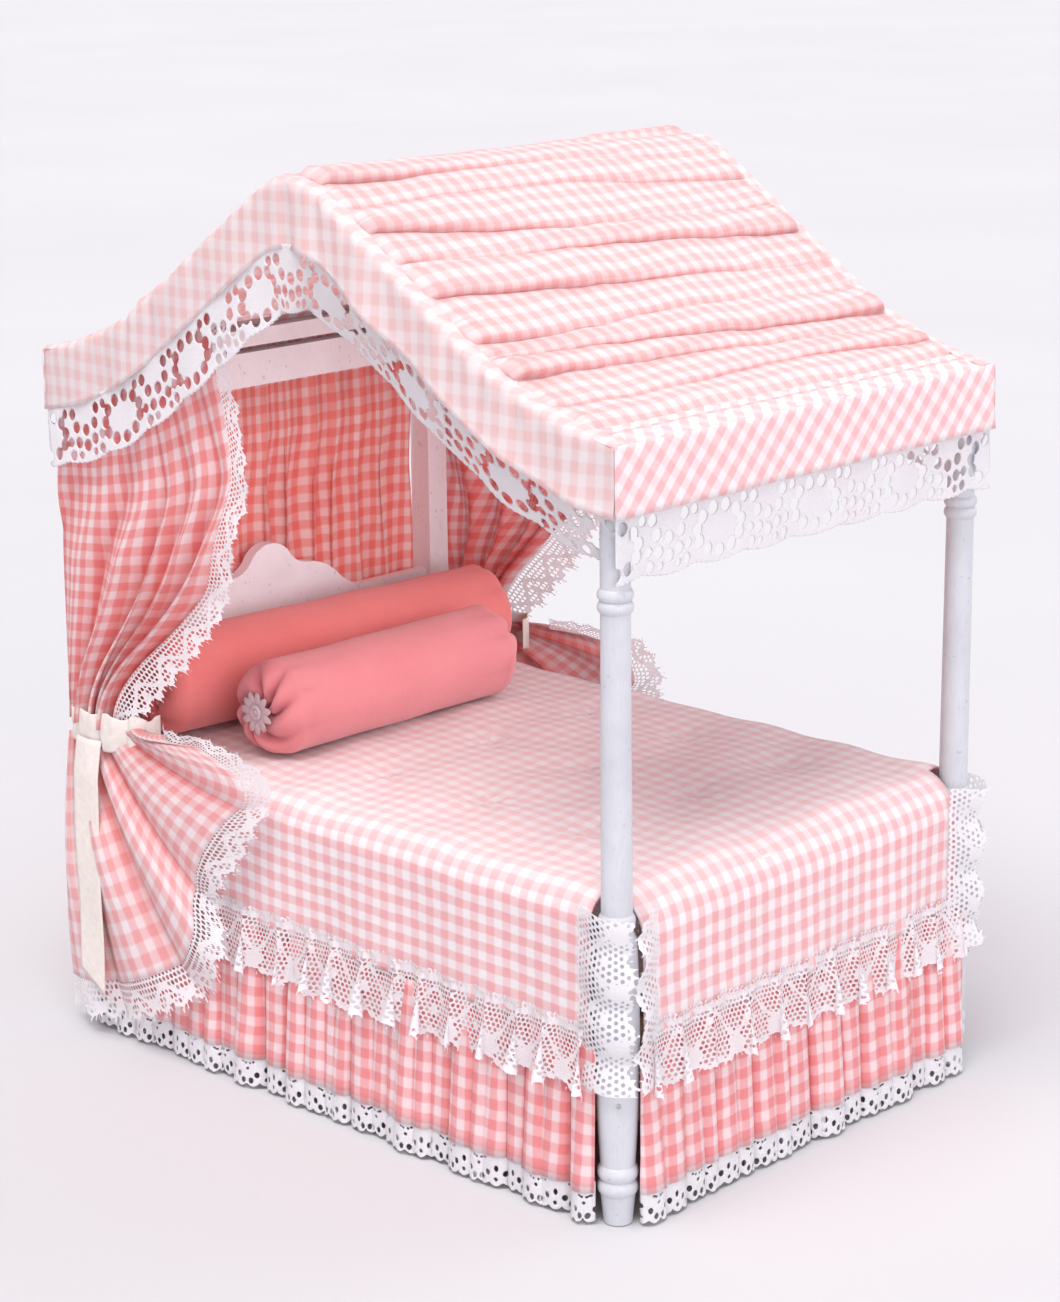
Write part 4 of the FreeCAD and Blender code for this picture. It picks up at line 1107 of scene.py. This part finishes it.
def slit_lace(corner, seed):
    """Net lace up both edges of a coverlet slit, wrapped round the foot post. corner is -1 left, 1 right."""
    x, y = abs(post_axis[0]), post_axis[1]
    top = bed_top - 1.2
    low = hem - 9.0
    around = {
        "side": [(bed_side + 0.7, y + 6.6), (x + 5.2, y + 2.0), (x + 4.9, y - 2.8), (x + 0.8, y - 6.2)],
        "foot": [(x - 7.2, y - 4.4), (x - 4.0, y - 5.4), (x - 0.5, y - 6.4), (x + 2.4, y - 6.6)],
    }
    for which, corners in around.items():
        along, phase = folds(top - low, 12.5, seed, uneven=0.55, per_fold=22)
        plan = even(curve_through(corners, 40), 14)
        normal = np.gradient(plan, axis=0)
        normal = np.stack([-normal[:, 1], normal[:, 0]], axis=1)
        normal /= np.linalg.norm(normal, axis=1)[:, None]
        sense = 1 if np.dot(normal[7], plan[7] - (x, y)) > 0 else -1
        share = np.linspace(0, 1, len(plan))[:, None]
        size = each_fold(phase, seed + 5, 0.3)
        ruffle = (0.15 + 1.15 * share**1.2) * size * np.cos(2 * math.pi * phase) + 0.5 * share
        slip = (0.2 + 0.9 * share) * np.sin(2 * math.pi * phase)
        place = plan[:, None, :] + sense * normal[:, None, :] * ruffle[..., None]
        points = np.empty((len(plan), len(along), 3))
        points[..., 0] = corner * place[..., 0]
        points[..., 1] = place[..., 1]
        points[..., 2] = top - along - slip - 1.5 * share * (1 - along / (top - low))
        u, v = measured(points)
        pattern = bobbin(v[-1], SLIT_REPEAT, net=1.4)
        made, area = lace(f"slit_lace_{SIDES[corner]}_{which}", points, u, v, pattern, 0.3)
        declare(u, v, area)
        seed += 10


# ---------------------------------------------------------------- curtains

TIE_LOW, TIE_HIGH = (box_mm("ribbon_tie_left")[k][2] for k in (0, 1))
TIE_FRONT, TIE_BACK = (box_mm("ribbon_tie_left")[k][1] for k in (0, 1))
# A side curtain's front edge from the canopy down to the tie, as (y, z).
LEADING = [
    (28.5, 178.0), (28.8, 160.0), (25.0, 147.0), (22.2, 135.5), (25.6, 123.5),
    (30.6, 111.0), (39.5, 99.5), (51.5, 88.5), (60.5, 79.5), (64.0, 73.5),
]
# Its lace's outer edge, at the same places.
LACE_EDGE = [
    (23.0, 178.0), (23.3, 160.0), (19.2, 146.0), (16.0, 135.5), (19.8, 122.2),
    (24.6, 108.7), (33.8, 95.5), (46.5, 82.5), (56.0, 75.5), (62.0, 72.0),
]
# Below the tie the curtain fans out: the hem of the cloth, then the lace's outer edge.
FAN_HEM = [
    (46.0, 75.6), (30.0, 74.6), (20.5, 72.0), (19.0, 67.0), (26.0, 60.0), (34.0, 50.0),
    (37.5, 41.0), (36.0, 32.5), (43.5, 23.3), (62.3, 14.5), (82.5, 11.0),
]
FAN_LACE = [
    (46.5, 78.3), (30.0, 78.2), (15.8, 77.6), (8.8, 71.0), (15.0, 57.3), (24.0, 46.5),
    (27.8, 40.0), (23.8, 29.5), (33.9, 17.0), (60.0, 4.4), (82.5, 2.0),
]
FAN_LACE_DEPTH = 7.2
# How far out from the middle each layer of a side curtain lies.
CURTAIN_OUT, FAN_OUT, TIE_OUT, TAIL_OUT = 57.0, 61.0, 57.2, 65.2
CURTAIN_BACK = 83.4  # how far back a side curtain reaches at the canopy
TIE_BACK_EDGE, FAN_BACK_EDGE = 80.6, 80.3  # and at the tie, above and below it
FAN_FRONT_EDGE = 55.5


def curtain_top(y):
    """The height of a curtain's gathered heading, hidden behind the canopy's side strip."""
    line = canopy_line(200)
    return np.interp(y, line[:, 0], line[:, 1]) - 5.0


def edging_strip(side, inner, out, edge, count):
    """A grid of points from a line (x, y, z) to the lace's outer edge, given as how far out and (y, z)."""
    across = np.linspace(0, 1, count)[:, None, None]
    strip = inner * (1 - across) + np.column_stack([out, edge]) * across
    strip[..., 0] *= side
    return strip


def side_curtain(side, seed):
    """A side curtain from the canopy to its tie: soft folds swept back, with lace down the front edge."""
    name = SIDES[side]
    rows, columns = 60, 181
    share = np.linspace(0, 1, columns)[None, :]
    front = even(curve_through(LEADING, 200), rows)
    fall = np.linspace(0, 1, rows)[:, None]
    back_y = CURTAIN_BACK - 2.8 * fall**6
    top = curtain_top(front[0, 0] + (CURTAIN_BACK - front[0, 0]) * share)
    tie_y = front[-1, 0] + (TIE_BACK_EDGE - front[-1, 0]) * share
    y = front[:, :1] * (1 - share) + back_y * share
    y = y * (1 - fall**5) + tie_y * fall**5
    straight = top + (front[-1, 1] - top) * fall
    z = straight + (front[:, 1:] - straight[:, :1]) * (1 - share) ** 1.5
    along, phase = folds(1.0, 1 / 5.0, seed, uneven=0.5, per_fold=24)
    phase = np.interp(share[0] ** 0.85, along, phase)[None, :]
    size = each_fold(phase[0], seed + 1, 0.4)[None, :]
    room = np.clip((fall - 0.22) / 0.3, 0, 1)
    deep = (0.35 + 3.0 * room + 0.9 * fall**3) * size
    drift = 0.35 * wander(seed + 2, 0.9)(fall + 0.15 * share)
    section = pleat(phase + drift, 0.9)
    out = CURTAIN_OUT + 1.9 * fall**4 + deep * section
    y = y + 1.0 * room * np.sin(2 * math.pi * (phase + drift))
    # Painted shade: in the backs of the folds, and along the top under the canopy.
    crease = 0.9 * (1 - section) ** 1.2 * (0.35 + 0.65 * room) + 0.35 * np.exp(-fall / 0.12)
    points = grid_of(side * out, y, z)
    u = travelled(points[rows // 3])
    v = travelled(points[:, columns // 2])
    made = cloth(f"curtain_{name}_upper", points, u, v, MIDDLE, thickness=0.25, crease=crease)
    declare(u, v)
    edge = even(curve_through(LACE_EDGE, 200), rows)
    inner = points[:, 0] * (side, 1, 1) + (0.15, 0, 0)
    out = inner[:, 0] + 0.35 + 0.6 * wander(seed + 3, 14)(travelled(edge))
    strip = edging_strip(side, inner, out, edge, 9)
    u, v = measured(strip)
    edging, area = lace(f"curtain_edging_{name}", strip, u, v, bobbin(v[-1], CURTAIN_REPEAT), 0.3)
    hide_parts(f"curtain_lace_{name}")
    declare(u, v, area)


def curtain_fan(side, seed):
    """The curtain below its tie, fanned out over the side of the bed, with lace along its hem."""
    name = SIDES[side]
    rows, columns = 34, 221
    hem_line = even(curve_through(FAN_HEM, 260), columns)
    start = np.linspace(0, 1, columns)
    tie_y = FAN_FRONT_EDGE + (FAN_BACK_EDGE - FAN_FRONT_EDGE) * start**0.8
    tie_z = TIE_HIGH - 1.5 - (TIE_HIGH - TIE_LOW) * 0.7 * start
    fall = np.linspace(0, 1, rows)[:, None]
    y = tie_y * (1 - fall) + hem_line[:, 0] * fall
    z = tie_z * (1 - fall) + hem_line[:, 1] * fall
    along, phase = folds(1.0, 1 / 6.0, seed, uneven=0.55, per_fold=24)
    phase = np.interp(start, along, phase)[None, :]
    size = each_fold(phase[0], seed + 1, 0.45)[None, :]
    deep = (0.9 + 2.2 * np.sin(math.pi * np.clip(fall, 0, 0.75))) * size
    low_end = np.clip((hem_line[:, 1] - 8.0) / 45.0, 0, 1)[None, :]
    out = FAN_OUT + 2.3 * np.sin(math.pi * np.clip(fall * 0.9, 0, 1)) + 0.9 * fall * (1 - low_end)
    section = pleat(phase, 0.9)
    out = out + deep * (section - 0.45)
    # Painted shade: in the backs of the folds, and just below the tie.
    crease = 1.2 * (1 - section) ** 1.1 * np.clip(1.25 - fall, 0, 1) + 0.5 * np.exp(-fall / 0.15)
    points = grid_of(side * out, y, z)
    u = travelled(points[rows * 2 // 3])
    v = travelled(points[:, columns // 2])
    made = cloth(f"curtain_{name}_lower", points, u, v, FAN, thickness=0.25, crease=crease)
    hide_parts(f"side_curtain_{name}")
    area = surface_area(points)
    inner = points[-1] * (side, 1, 1) + (0.12, 0, 0)
    out = inner[:, 0] + 0.2 + 0.6 * np.sin(2 * math.pi * phase[0] * 1.5)
    strip = edging_strip(side, inner, out, even(curve_through(FAN_LACE, 260), columns), 10)
    u = travelled(strip[5])
    v = np.linspace(0, FAN_LACE_DEPTH, len(strip))
    edging, area = lace(f"fan_edging_{name}", strip, u, v, bobbin(FAN_LACE_DEPTH, CURTAIN_REPEAT), 0.3)
    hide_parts(f"flare_lace_{name}")
    declare(u, v, area)


def surface_area(points):
    """The area of a grid of points."""
    a = points[1:, 1:] - points[:-1, :-1]
    b = points[1:, :-1] - points[:-1, 1:]
    return float(np.linalg.norm(np.cross(a, b), axis=-1).sum() / 2)


def curtain_tie(side, seed):
    """A gathered ivory ribbon round the curtain, and the tail that hangs from it."""
    name = SIDES[side]
    turn = np.linspace(-0.5 * math.pi, 0.5 * math.pi, 91)[None, :]
    rise = np.linspace(0, 1, 17)[:, None]
    middle = (TIE_FRONT + TIE_BACK) / 2
    half = (TIE_BACK - TIE_FRONT) / 2
    tuck = np.abs(np.sin(5.2 * turn + 0.5 * wander(seed, 1.3)(turn) + 0.4 * (rise - 0.5)))
    crinkle = 0.95 * (tuck**0.6 - 0.5) * (0.7 + 0.6 * np.abs(2 * rise - 1))
    flute = 0.3 * wander(seed + 1, 0.35)(turn) * np.abs(2 * rise - 1)
    out = TIE_OUT + (5.6 + crinkle + flute + 0.5 * np.sin(math.pi * rise)) * np.cos(turn) ** 0.7
    y = middle + half * np.sin(turn)
    uneven = 0.5 * wander(seed + 2, 0.8)(turn) * (2 * rise - 1)
    z = TIE_LOW + (TIE_HIGH - TIE_LOW) * rise + uneven - 0.8 * np.sin(turn)
    points = grid_of(side * out, y, z)
    u = travelled(points[8])
    v = travelled(points[:, 45])
    made = cloth(f"curtain_tie_{name}", points, u, v, RIBBON, thickness=0.3, slot="ivory_ribbon")
    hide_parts(f"ribbon_tie_{name}")
    declare(u, v)
    tail_low, tail_high = box_mm(f"ribbon_tail_{name}")
    tail_top = tail_high[2] + 2.0
    across = np.linspace(0, 1, 13)[None, :]
    fall = np.linspace(0, 1, 44)[:, None]
    width = (tail_high[1] - tail_low[1]) * (0.72 - 0.06 * fall)
    y = (tail_low[1] + tail_high[1]) / 2 + 4.0 + (across - 0.5) * width + 0.15 * wander(seed + 6, 0.9)(fall)
    bottom = tail_low[2] + 5.0 * across
    z = tail_top + (bottom - tail_top) * fall
    out = TAIL_OUT + 0.7 * fall + 0.2 * wander(seed + 7, 0.8)(fall + 0.1 * across)
    out = out - 1.2 * np.clip(1 - fall * 7, 0, 1)
    out = out + 0.35 * np.cos(2 * math.pi * (across - 0.5)) * np.clip(1 - fall * 3, 0, 1)
    points = grid_of(side * out, y, z)
    u = travelled(points[20])
    v = travelled(points[:, 6])
    tail = cloth(f"ribbon_tail_{name}_hanging", points, u, v, RIBBON, thickness=0.25, slot="ivory_ribbon")
    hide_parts(f"ribbon_tail_{name}")


BACK_CURTAIN_Y = 83.3


def back_curtain(seed):
    """The curtain behind the headboard, gathered on its rail and hanging to the floor."""
    low, high = box_mm("back_curtain")
    along, phase = folds(high[0] - low[0], 8.8, seed, uneven=0.35, per_fold=18)
    size = each_fold(phase, seed + 1, 0.4)
    height = np.linspace(EAVES - 1.8, 0.4, 72)[:, None]
    fall = np.maximum(high[2] - height, 0) / high[2]
    heading = np.exp(-fall / 0.04)
    below_lace = np.clip((EAVES - 28.0 - height) / 14.0, 0, 1)
    deep = (0.75 + 1.5 * below_lace) * size
    drift = 0.14 * wander(seed + 2, 0.8)(fall + phase * 0.07)
    section = 0.5 - 0.5 * np.cos(2 * math.pi * (phase + drift))
    fine = 0.3 * heading * np.sin(2 * math.pi * 3 * phase)
    out = BACK_CURTAIN_Y + deep * section + fine + below_lace
    slip = (0.5 + 0.9 * below_lace) * size * np.sin(2 * math.pi * (phase + drift))
    points = panel((low[0], 0.0), (1.0, 0.0), (0.0, 1.0), along - slip, out, height)
    u, v = measured(points)
    # Painted shade in the backs of the folds.
    made = cloth("curtain_back", points, u, v, GINGHAM_IN_DEEP_SHADE, thickness=0.25, crease=0.35 * section**2)
    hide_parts("back_curtain")
    declare(u, v)


# ---------------------------------------------------------------- bolsters

SIM_SCALE = 20.0


def swell(made, pinned, pressure, most):
    """Cloth simulation: the closed cover swells under pressure. most caps how far a point may move."""
    mesh = made.data
    count = len(mesh.vertices)
    rest = np.zeros(count * 3)
    mesh.vertices.foreach_get("co", rest)
    rest = rest.reshape(-1, 3)
    mesh.vertices.foreach_set("co", (rest * SIM_SCALE).ravel())
    group = made.vertex_groups.new(name="held")
    group.add([int(k) for k in pinned], 1.0, "REPLACE")
    sim = made.modifiers.new("swell", "CLOTH")
    sim.settings.quality = 6
    sim.settings.mass = 0.25
    sim.settings.tension_stiffness = 12
    sim.settings.compression_stiffness = 12
    sim.settings.bending_stiffness = 0.4
    sim.settings.shrink_min = -0.035
    sim.settings.vertex_group_mass = "held"
    sim.settings.use_pressure = True
    sim.settings.uniform_pressure_force = pressure
    sim.settings.effector_weights.gravity = 0.0
    sim.collision_settings.use_collision = False
    scene = bpy.context.scene
    for step in range(1, 21):
        scene.frame_set(step)
    shape = made.evaluated_get(bpy.context.evaluated_depsgraph_get()).data
    moved = np.zeros(count * 3)
    shape.vertices.foreach_get("co", moved)
    moved = moved.reshape(-1, 3) / SIM_SCALE
    made.modifiers.remove(sim)
    made.vertex_groups.remove(group)
    scene.frame_set(1)
    shift = moved - rest
    size = np.linalg.norm(shift, axis=1)
    shift *= np.minimum(1.0, most * MM / np.maximum(size, 1e-9))[:, None]
    mesh.vertices.foreach_set("co", (rest + shift).ravel())
    mesh.update()


def bolster(name, replaced, body, material, length, radius, turn, ends, seed, sag):
    """A stuffed roll along X: round, a little flat underneath, its ends gathered into pleats."""
    low, high = box_mm(replaced)
    centre = (low + high) / 2
    around = 112
    angles = np.linspace(0, 2 * math.pi, around, endpoint=False)
    half = length / 2
    rounding = 3.4  # of the rims
    floor = -0.86 * radius  # the height that the underside is flattened to
    rows = []
    pleats = 7

    def puffed(twist):
        """How full each place round the roll is, from its pleats."""
        phase = pleats * (angles + twist) / (2 * math.pi) + 0.25 * np.sin(angles * 2 + seed)
        return np.abs(np.sin(math.pi * phase)) ** 0.55

    def end_ring(side, share):
        """Ring of an end cover, share 0 at its centre and 1 at the rim, with the painted shade in its pleats.
        """
        puff = puffed(side * 0.9 * (1 - share))
        rounded = math.cos(math.pi / 2 * share**2.4) if share < 1 else 0.0
        depth = ends * (puff - 0.45) * math.sin(math.pi * min(share * 0.9 + 0.1, 1)) ** 0.7
        dimple = -2.4 * math.exp(-(share / 0.3) ** 2)
        axial = half - rounding + rounding * rounded + depth + dimple
        size = radius * (share**0.9) * (1 + 0.05 * (puff - 0.5) * share)
        return side * axial, size, 1.2 * (1 - puff) * math.exp(-(share / 0.75) ** 4)

    for side in (-1, 1):
        rings = [end_ring(side, share) for share in np.linspace(0.0, 1.0, 15)[1:]]
        rows.append(rings if side < 0 else rings[::-1])
    barrel = []
    for place in np.linspace(-1, 1, 49)[1:-1]:
        x = place * (half - rounding)
        near_end = math.exp(-(1 - abs(place)) * half / 7.0)
        puff = puffed(0.0)
        crease = 0.35 * near_end * (puff - 0.6) * ends / 1.6
        lumps = 0.22 * ripple(seed, 26)(np.full(around, x), angles * radius)
        reach = radius * (1 - 0.015 * place**2) + crease + lumps * (1 - near_end)
        # The third value is the painted shade in the pleats near the ends.
        barrel.append((np.full(around, x), reach, 0.5 * (1 - puff) * near_end**2))
    sections = [[np.broadcast_to(part, around) for part in ring] for ring in rows[0] + barrel + rows[1]]
    vertices = []
    for x, size, _ in sections:
        y = np.cos(angles) * size
        z = np.sin(angles) * size
        z = np.where(z < floor, floor + (z - floor) * 0.25, z)
        vertices.append(np.stack([x, y, z - sag * np.cos(x / half * 1.3) * 0.4], axis=1))
    grid = np.array(vertices)
    points = grid.reshape(-1, 3)
    count = len(grid)
    last = (count - 1) * around
    faces = [[a, d, c, b] for a, b, c, d in tube_faces(count, around)]
    faces += [list(range(around)), list(range(last, last + around))[::-1]]
    girth = angles * radius
    uv = np.stack(np.broadcast_arrays(girth[None, :], travelled(grid[:, around // 4])[:, None]), axis=-1)
    # Painted shade in the pleats, for the material's fold layer.
    pleat_shade = np.clip(np.concatenate([ring[2] for ring in sections]), 0, 1)
    made = mesh_object(name, points, faces, uv.reshape(-1, 2), material, body=body, slot="coral_cotton",
                       crease=pleat_shade)
    pinned = [*range(3 * around), *range((count - 3) * around, count * around)]
    swell(made, pinned, 3.0, 0.7)
    made.data.transform(Matrix.Translation(Vector(centre * MM)) @ Matrix.Rotation(math.radians(turn), 4, "Z"))
    smooth = made.modifiers.new("smooth", "SUBSURF")
    smooth.levels = smooth.render_levels = 1
    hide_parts(replaced)


def daisy(side):
    """A lace daisy on the end of the neck roll: raised petals round a ring and a bead."""
    name = SIDES[side]
    low, high = box_mm(f"daisy_{name}")
    centre = (low + high) / 2
    vertices, faces, petals, rows, columns = [], [], 11, 9, 7
    rng = np.random.default_rng(5 + side)
    for number in range(petals):
        angle = 2 * math.pi * number / petals + rng.uniform(-0.06, 0.06)
        length = 3.5 * rng.uniform(0.93, 1.07)
        start = len(vertices)
        for a in np.linspace(0, 1, rows):
            wide = 0.95 * math.sin(math.pi * (0.16 + 0.78 * a)) ** 0.6
            for c in np.linspace(-1, 1, columns):
                reach = 1.3 + length * a
                offset = c * wide
                high_by = 0.35 * (1 - c * c) * math.sin(math.pi * a) + 0.22 * abs(c) ** 3 + 0.25 * a
                radial = (reach * math.cos(angle) - offset * math.sin(angle),
                          reach * math.sin(angle) + offset * math.cos(angle))
                vertices.append((high_by, *radial))
        for i in range(rows - 1):
            for j in range(columns - 1):
                k = start + i * columns + j
                faces.append([k, k + 1, k + columns + 1, k + columns])
    for is_ring, tube, lift in ((True, 0.34, 0.45), (False, 0.75, 0.35)):
        start = len(vertices)
        big, small = 24, 12
        for i in range(big):
            turn = 2 * math.pi * i / big
            for j in range(small):
                around = 2 * math.pi * j / small
                if is_ring:
                    reach = 1.25 + tube * math.cos(around)
                    height = lift + tube * math.sin(around)
                else:
                    reach = tube * math.sin(math.pi * (j + 0.5) / small)
                    height = lift + tube * 0.7 * math.cos(math.pi * (j + 0.5) / small)
                vertices.append((height, reach * math.cos(turn), reach * math.sin(turn)))
        wrap = small if is_ring else small - 1
        for i in range(big):
            for j in range(wrap):
                a, b = start + i * small + j, start + ((i + 1) % big) * small + j
                c, d = start + ((i + 1) % big) * small + (j + 1) % small, start + i * small + (j + 1) % small
                faces.append([a, b, c, d])
    place = np.array(vertices, float)
    place[:, 0] *= side
    place += centre + (side * 1.0, 0.0, 0.0)
    made = mesh_object(f"lace_daisy_{name}", place, faces, place[:, 1:], DAISY, body="neck_roll",
                       slot="daisy_lace", thickness=0.22)
    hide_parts(f"daisy_{name}")


# ---------------------------------------------------------------- wood, paint and nails


def finish_frame():
    """Materials for the CAD's own pieces: paint on posts, headboard and rail, bare wood along its grain."""
    painted = ("foot_post", "head_post", "headboard", "curtain_rail", "canopy_head_bar")
    across = ("foot_rail", "head_rail", "canopy_foot_bar", "canopy_ridge_bar")
    for name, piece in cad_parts.items():
        if name.startswith(painted):
            # Inside the canopy the paint is the lighter copy, painted against the shade there.
            material = PAINT if name.startswith("foot_post") else PAINT_LIT_FOR_SHADE
        elif name.startswith("post_nails"):
            material = STEEL
        elif name.startswith("corner_block"):
            material = WOOD["z"]
        elif name.startswith(across):
            material = WOOD["x"]
        else:
            material = WOOD["y"]
        piece.data.materials.clear()
        piece.data.materials.append(material)


# ---------------------------------------------------------------- floor, light and camera


def studio():
    """A pale floor, a bright soft room, three broad suns and a small lamp under the canopy."""
    mesh = bpy.data.meshes.new("floor")
    count = 25
    x, y = np.meshgrid(*[np.linspace(-9.0, 9.0, count)] * 2)
    points = grid_of(x, y, -0.0002).reshape(-1, 3)
    mesh.from_pydata(points.tolist(), [], grid_faces(count, count))
    floor = bpy.data.objects.new("floor", mesh)
    bpy.context.scene.collection.objects.link(floor)
    material, tree, shader = material_with("floor_paint", roughness=0.75, specular=0.2)
    cloud = noise(tree, in_object(tree), 3.0)
    colour = ramp(tree, cloud, [(0.3, (0.555, 0.547, 0.562)), (0.7, (0.575, 0.569, 0.583))])
    tree.links.new(colour, shader.inputs["Base Color"])
    mesh.materials.append(material)
    world = bpy.data.worlds.new("room")
    bpy.context.scene.world = world
    world.use_nodes = True
    sky = world.node_tree.nodes["Background"]
    sky.inputs["Color"].default_value = (0.93, 0.92, 1.0, 1.0)
    sky.inputs["Strength"].default_value = 0.70
    for name, energy, angle, direction, colour in (
        ("key", 2.6, 40.0, (0.36, 0.10, -1.0), (1.0, 0.975, 0.96)),
        ("fill", 1.45, 40.0, (0.40, 0.90, -0.15), (0.98, 0.97, 1.0)),
        ("side", 0.7, 60.0, (-0.80, 0.25, -0.55), (1.0, 0.98, 0.98)),
    ):
        lamp = bpy.data.lights.new(name, "SUN")
        lamp.energy = energy
        lamp.angle = math.radians(angle)
        lamp.color = colour
        made = bpy.data.objects.new(name, lamp)
        made.rotation_mode = "QUATERNION"
        made.rotation_quaternion = Vector(direction).to_track_quat("-Z", "Y")
        bpy.context.scene.collection.objects.link(made)
    lamp = bpy.data.lights.new("under_canopy", "AREA")
    lamp.size = 0.08
    lamp.energy = 0.015
    lamp.spread = math.radians(100.0)
    made = bpy.data.objects.new("under_canopy", lamp)
    made.location = (0.0, -0.045, 0.138)
    made.rotation_mode = "QUATERNION"
    made.rotation_quaternion = Vector((0.0, 1.0, -0.28)).to_track_quat("-Z", "Y")
    bpy.context.scene.collection.objects.link(made)
    bpy.context.scene.view_settings.view_transform = "Standard"


def camera():
    """The photograph's view: from the foot's left corner, a little above."""
    place = Vector((-447.25, -441.67, 261.62)) * MM
    yaw, pitch, roll = -0.8015, 0.2650, -0.0115
    back = Vector((math.sin(yaw) * math.cos(pitch), -math.cos(yaw) * math.cos(pitch), math.sin(pitch)))
    right = (-back).cross(Vector((0, 0, 1))).normalized()
    over = right.cross(-back)
    across = right * math.cos(roll) + over * math.sin(roll)
    upright = over * math.cos(roll) - right * math.sin(roll)
    lens = bpy.data.cameras.new("camera")
    lens.sensor_width = 36.0
    lens.lens = 81.77
    lens.shift_x = -0.00636
    lens.shift_y = -0.00183
    lens.clip_start = 0.01
    lens.clip_end = 50.0
    made = bpy.data.objects.new("camera", lens)
    axes = Matrix((across, upright, back)).transposed().to_4x4()
    made.matrix_world = Matrix.Translation(place) @ axes
    bpy.context.scene.collection.objects.link(made)
    bpy.context.scene.camera = made


camera()
studio()
finish_frame()
quilt_pad()
coverlet()
roof()
for edge, seed in ((-1, 101), (1, 121)):
    side_band(edge, seed)
    end_band(edge, seed + 5)
    valance_side(edge, seed + 8)
    valance_end(edge, seed + 11)
for place, seed in (("left", 201), ("foot", 231), ("right", 261)):
    dust_ruffle(place, seed)
    coverlet_ruffle(place, seed + 10)
slit_lace(-1, 301)
slit_lace(1, 331)
for edge, seed in ((-1, 401), (1, 451)):
    side_curtain(edge, seed)
    curtain_fan(edge, seed + 10)
    curtain_tie(edge, seed + 20)
back_curtain(501)
bolster("long_bolster", "back_bolster", "back_bolster", BOLSTER_IN_SHADE, 102.0, 12.4, -4.0, 1.2, 3, 1.0)
bolster("neck_bolster", "neck_roll", "neck_roll", ROLL, 72.0, 11.4, 0.0, 4.0, 8, 0.4)
daisy(-1)
daisy(1)
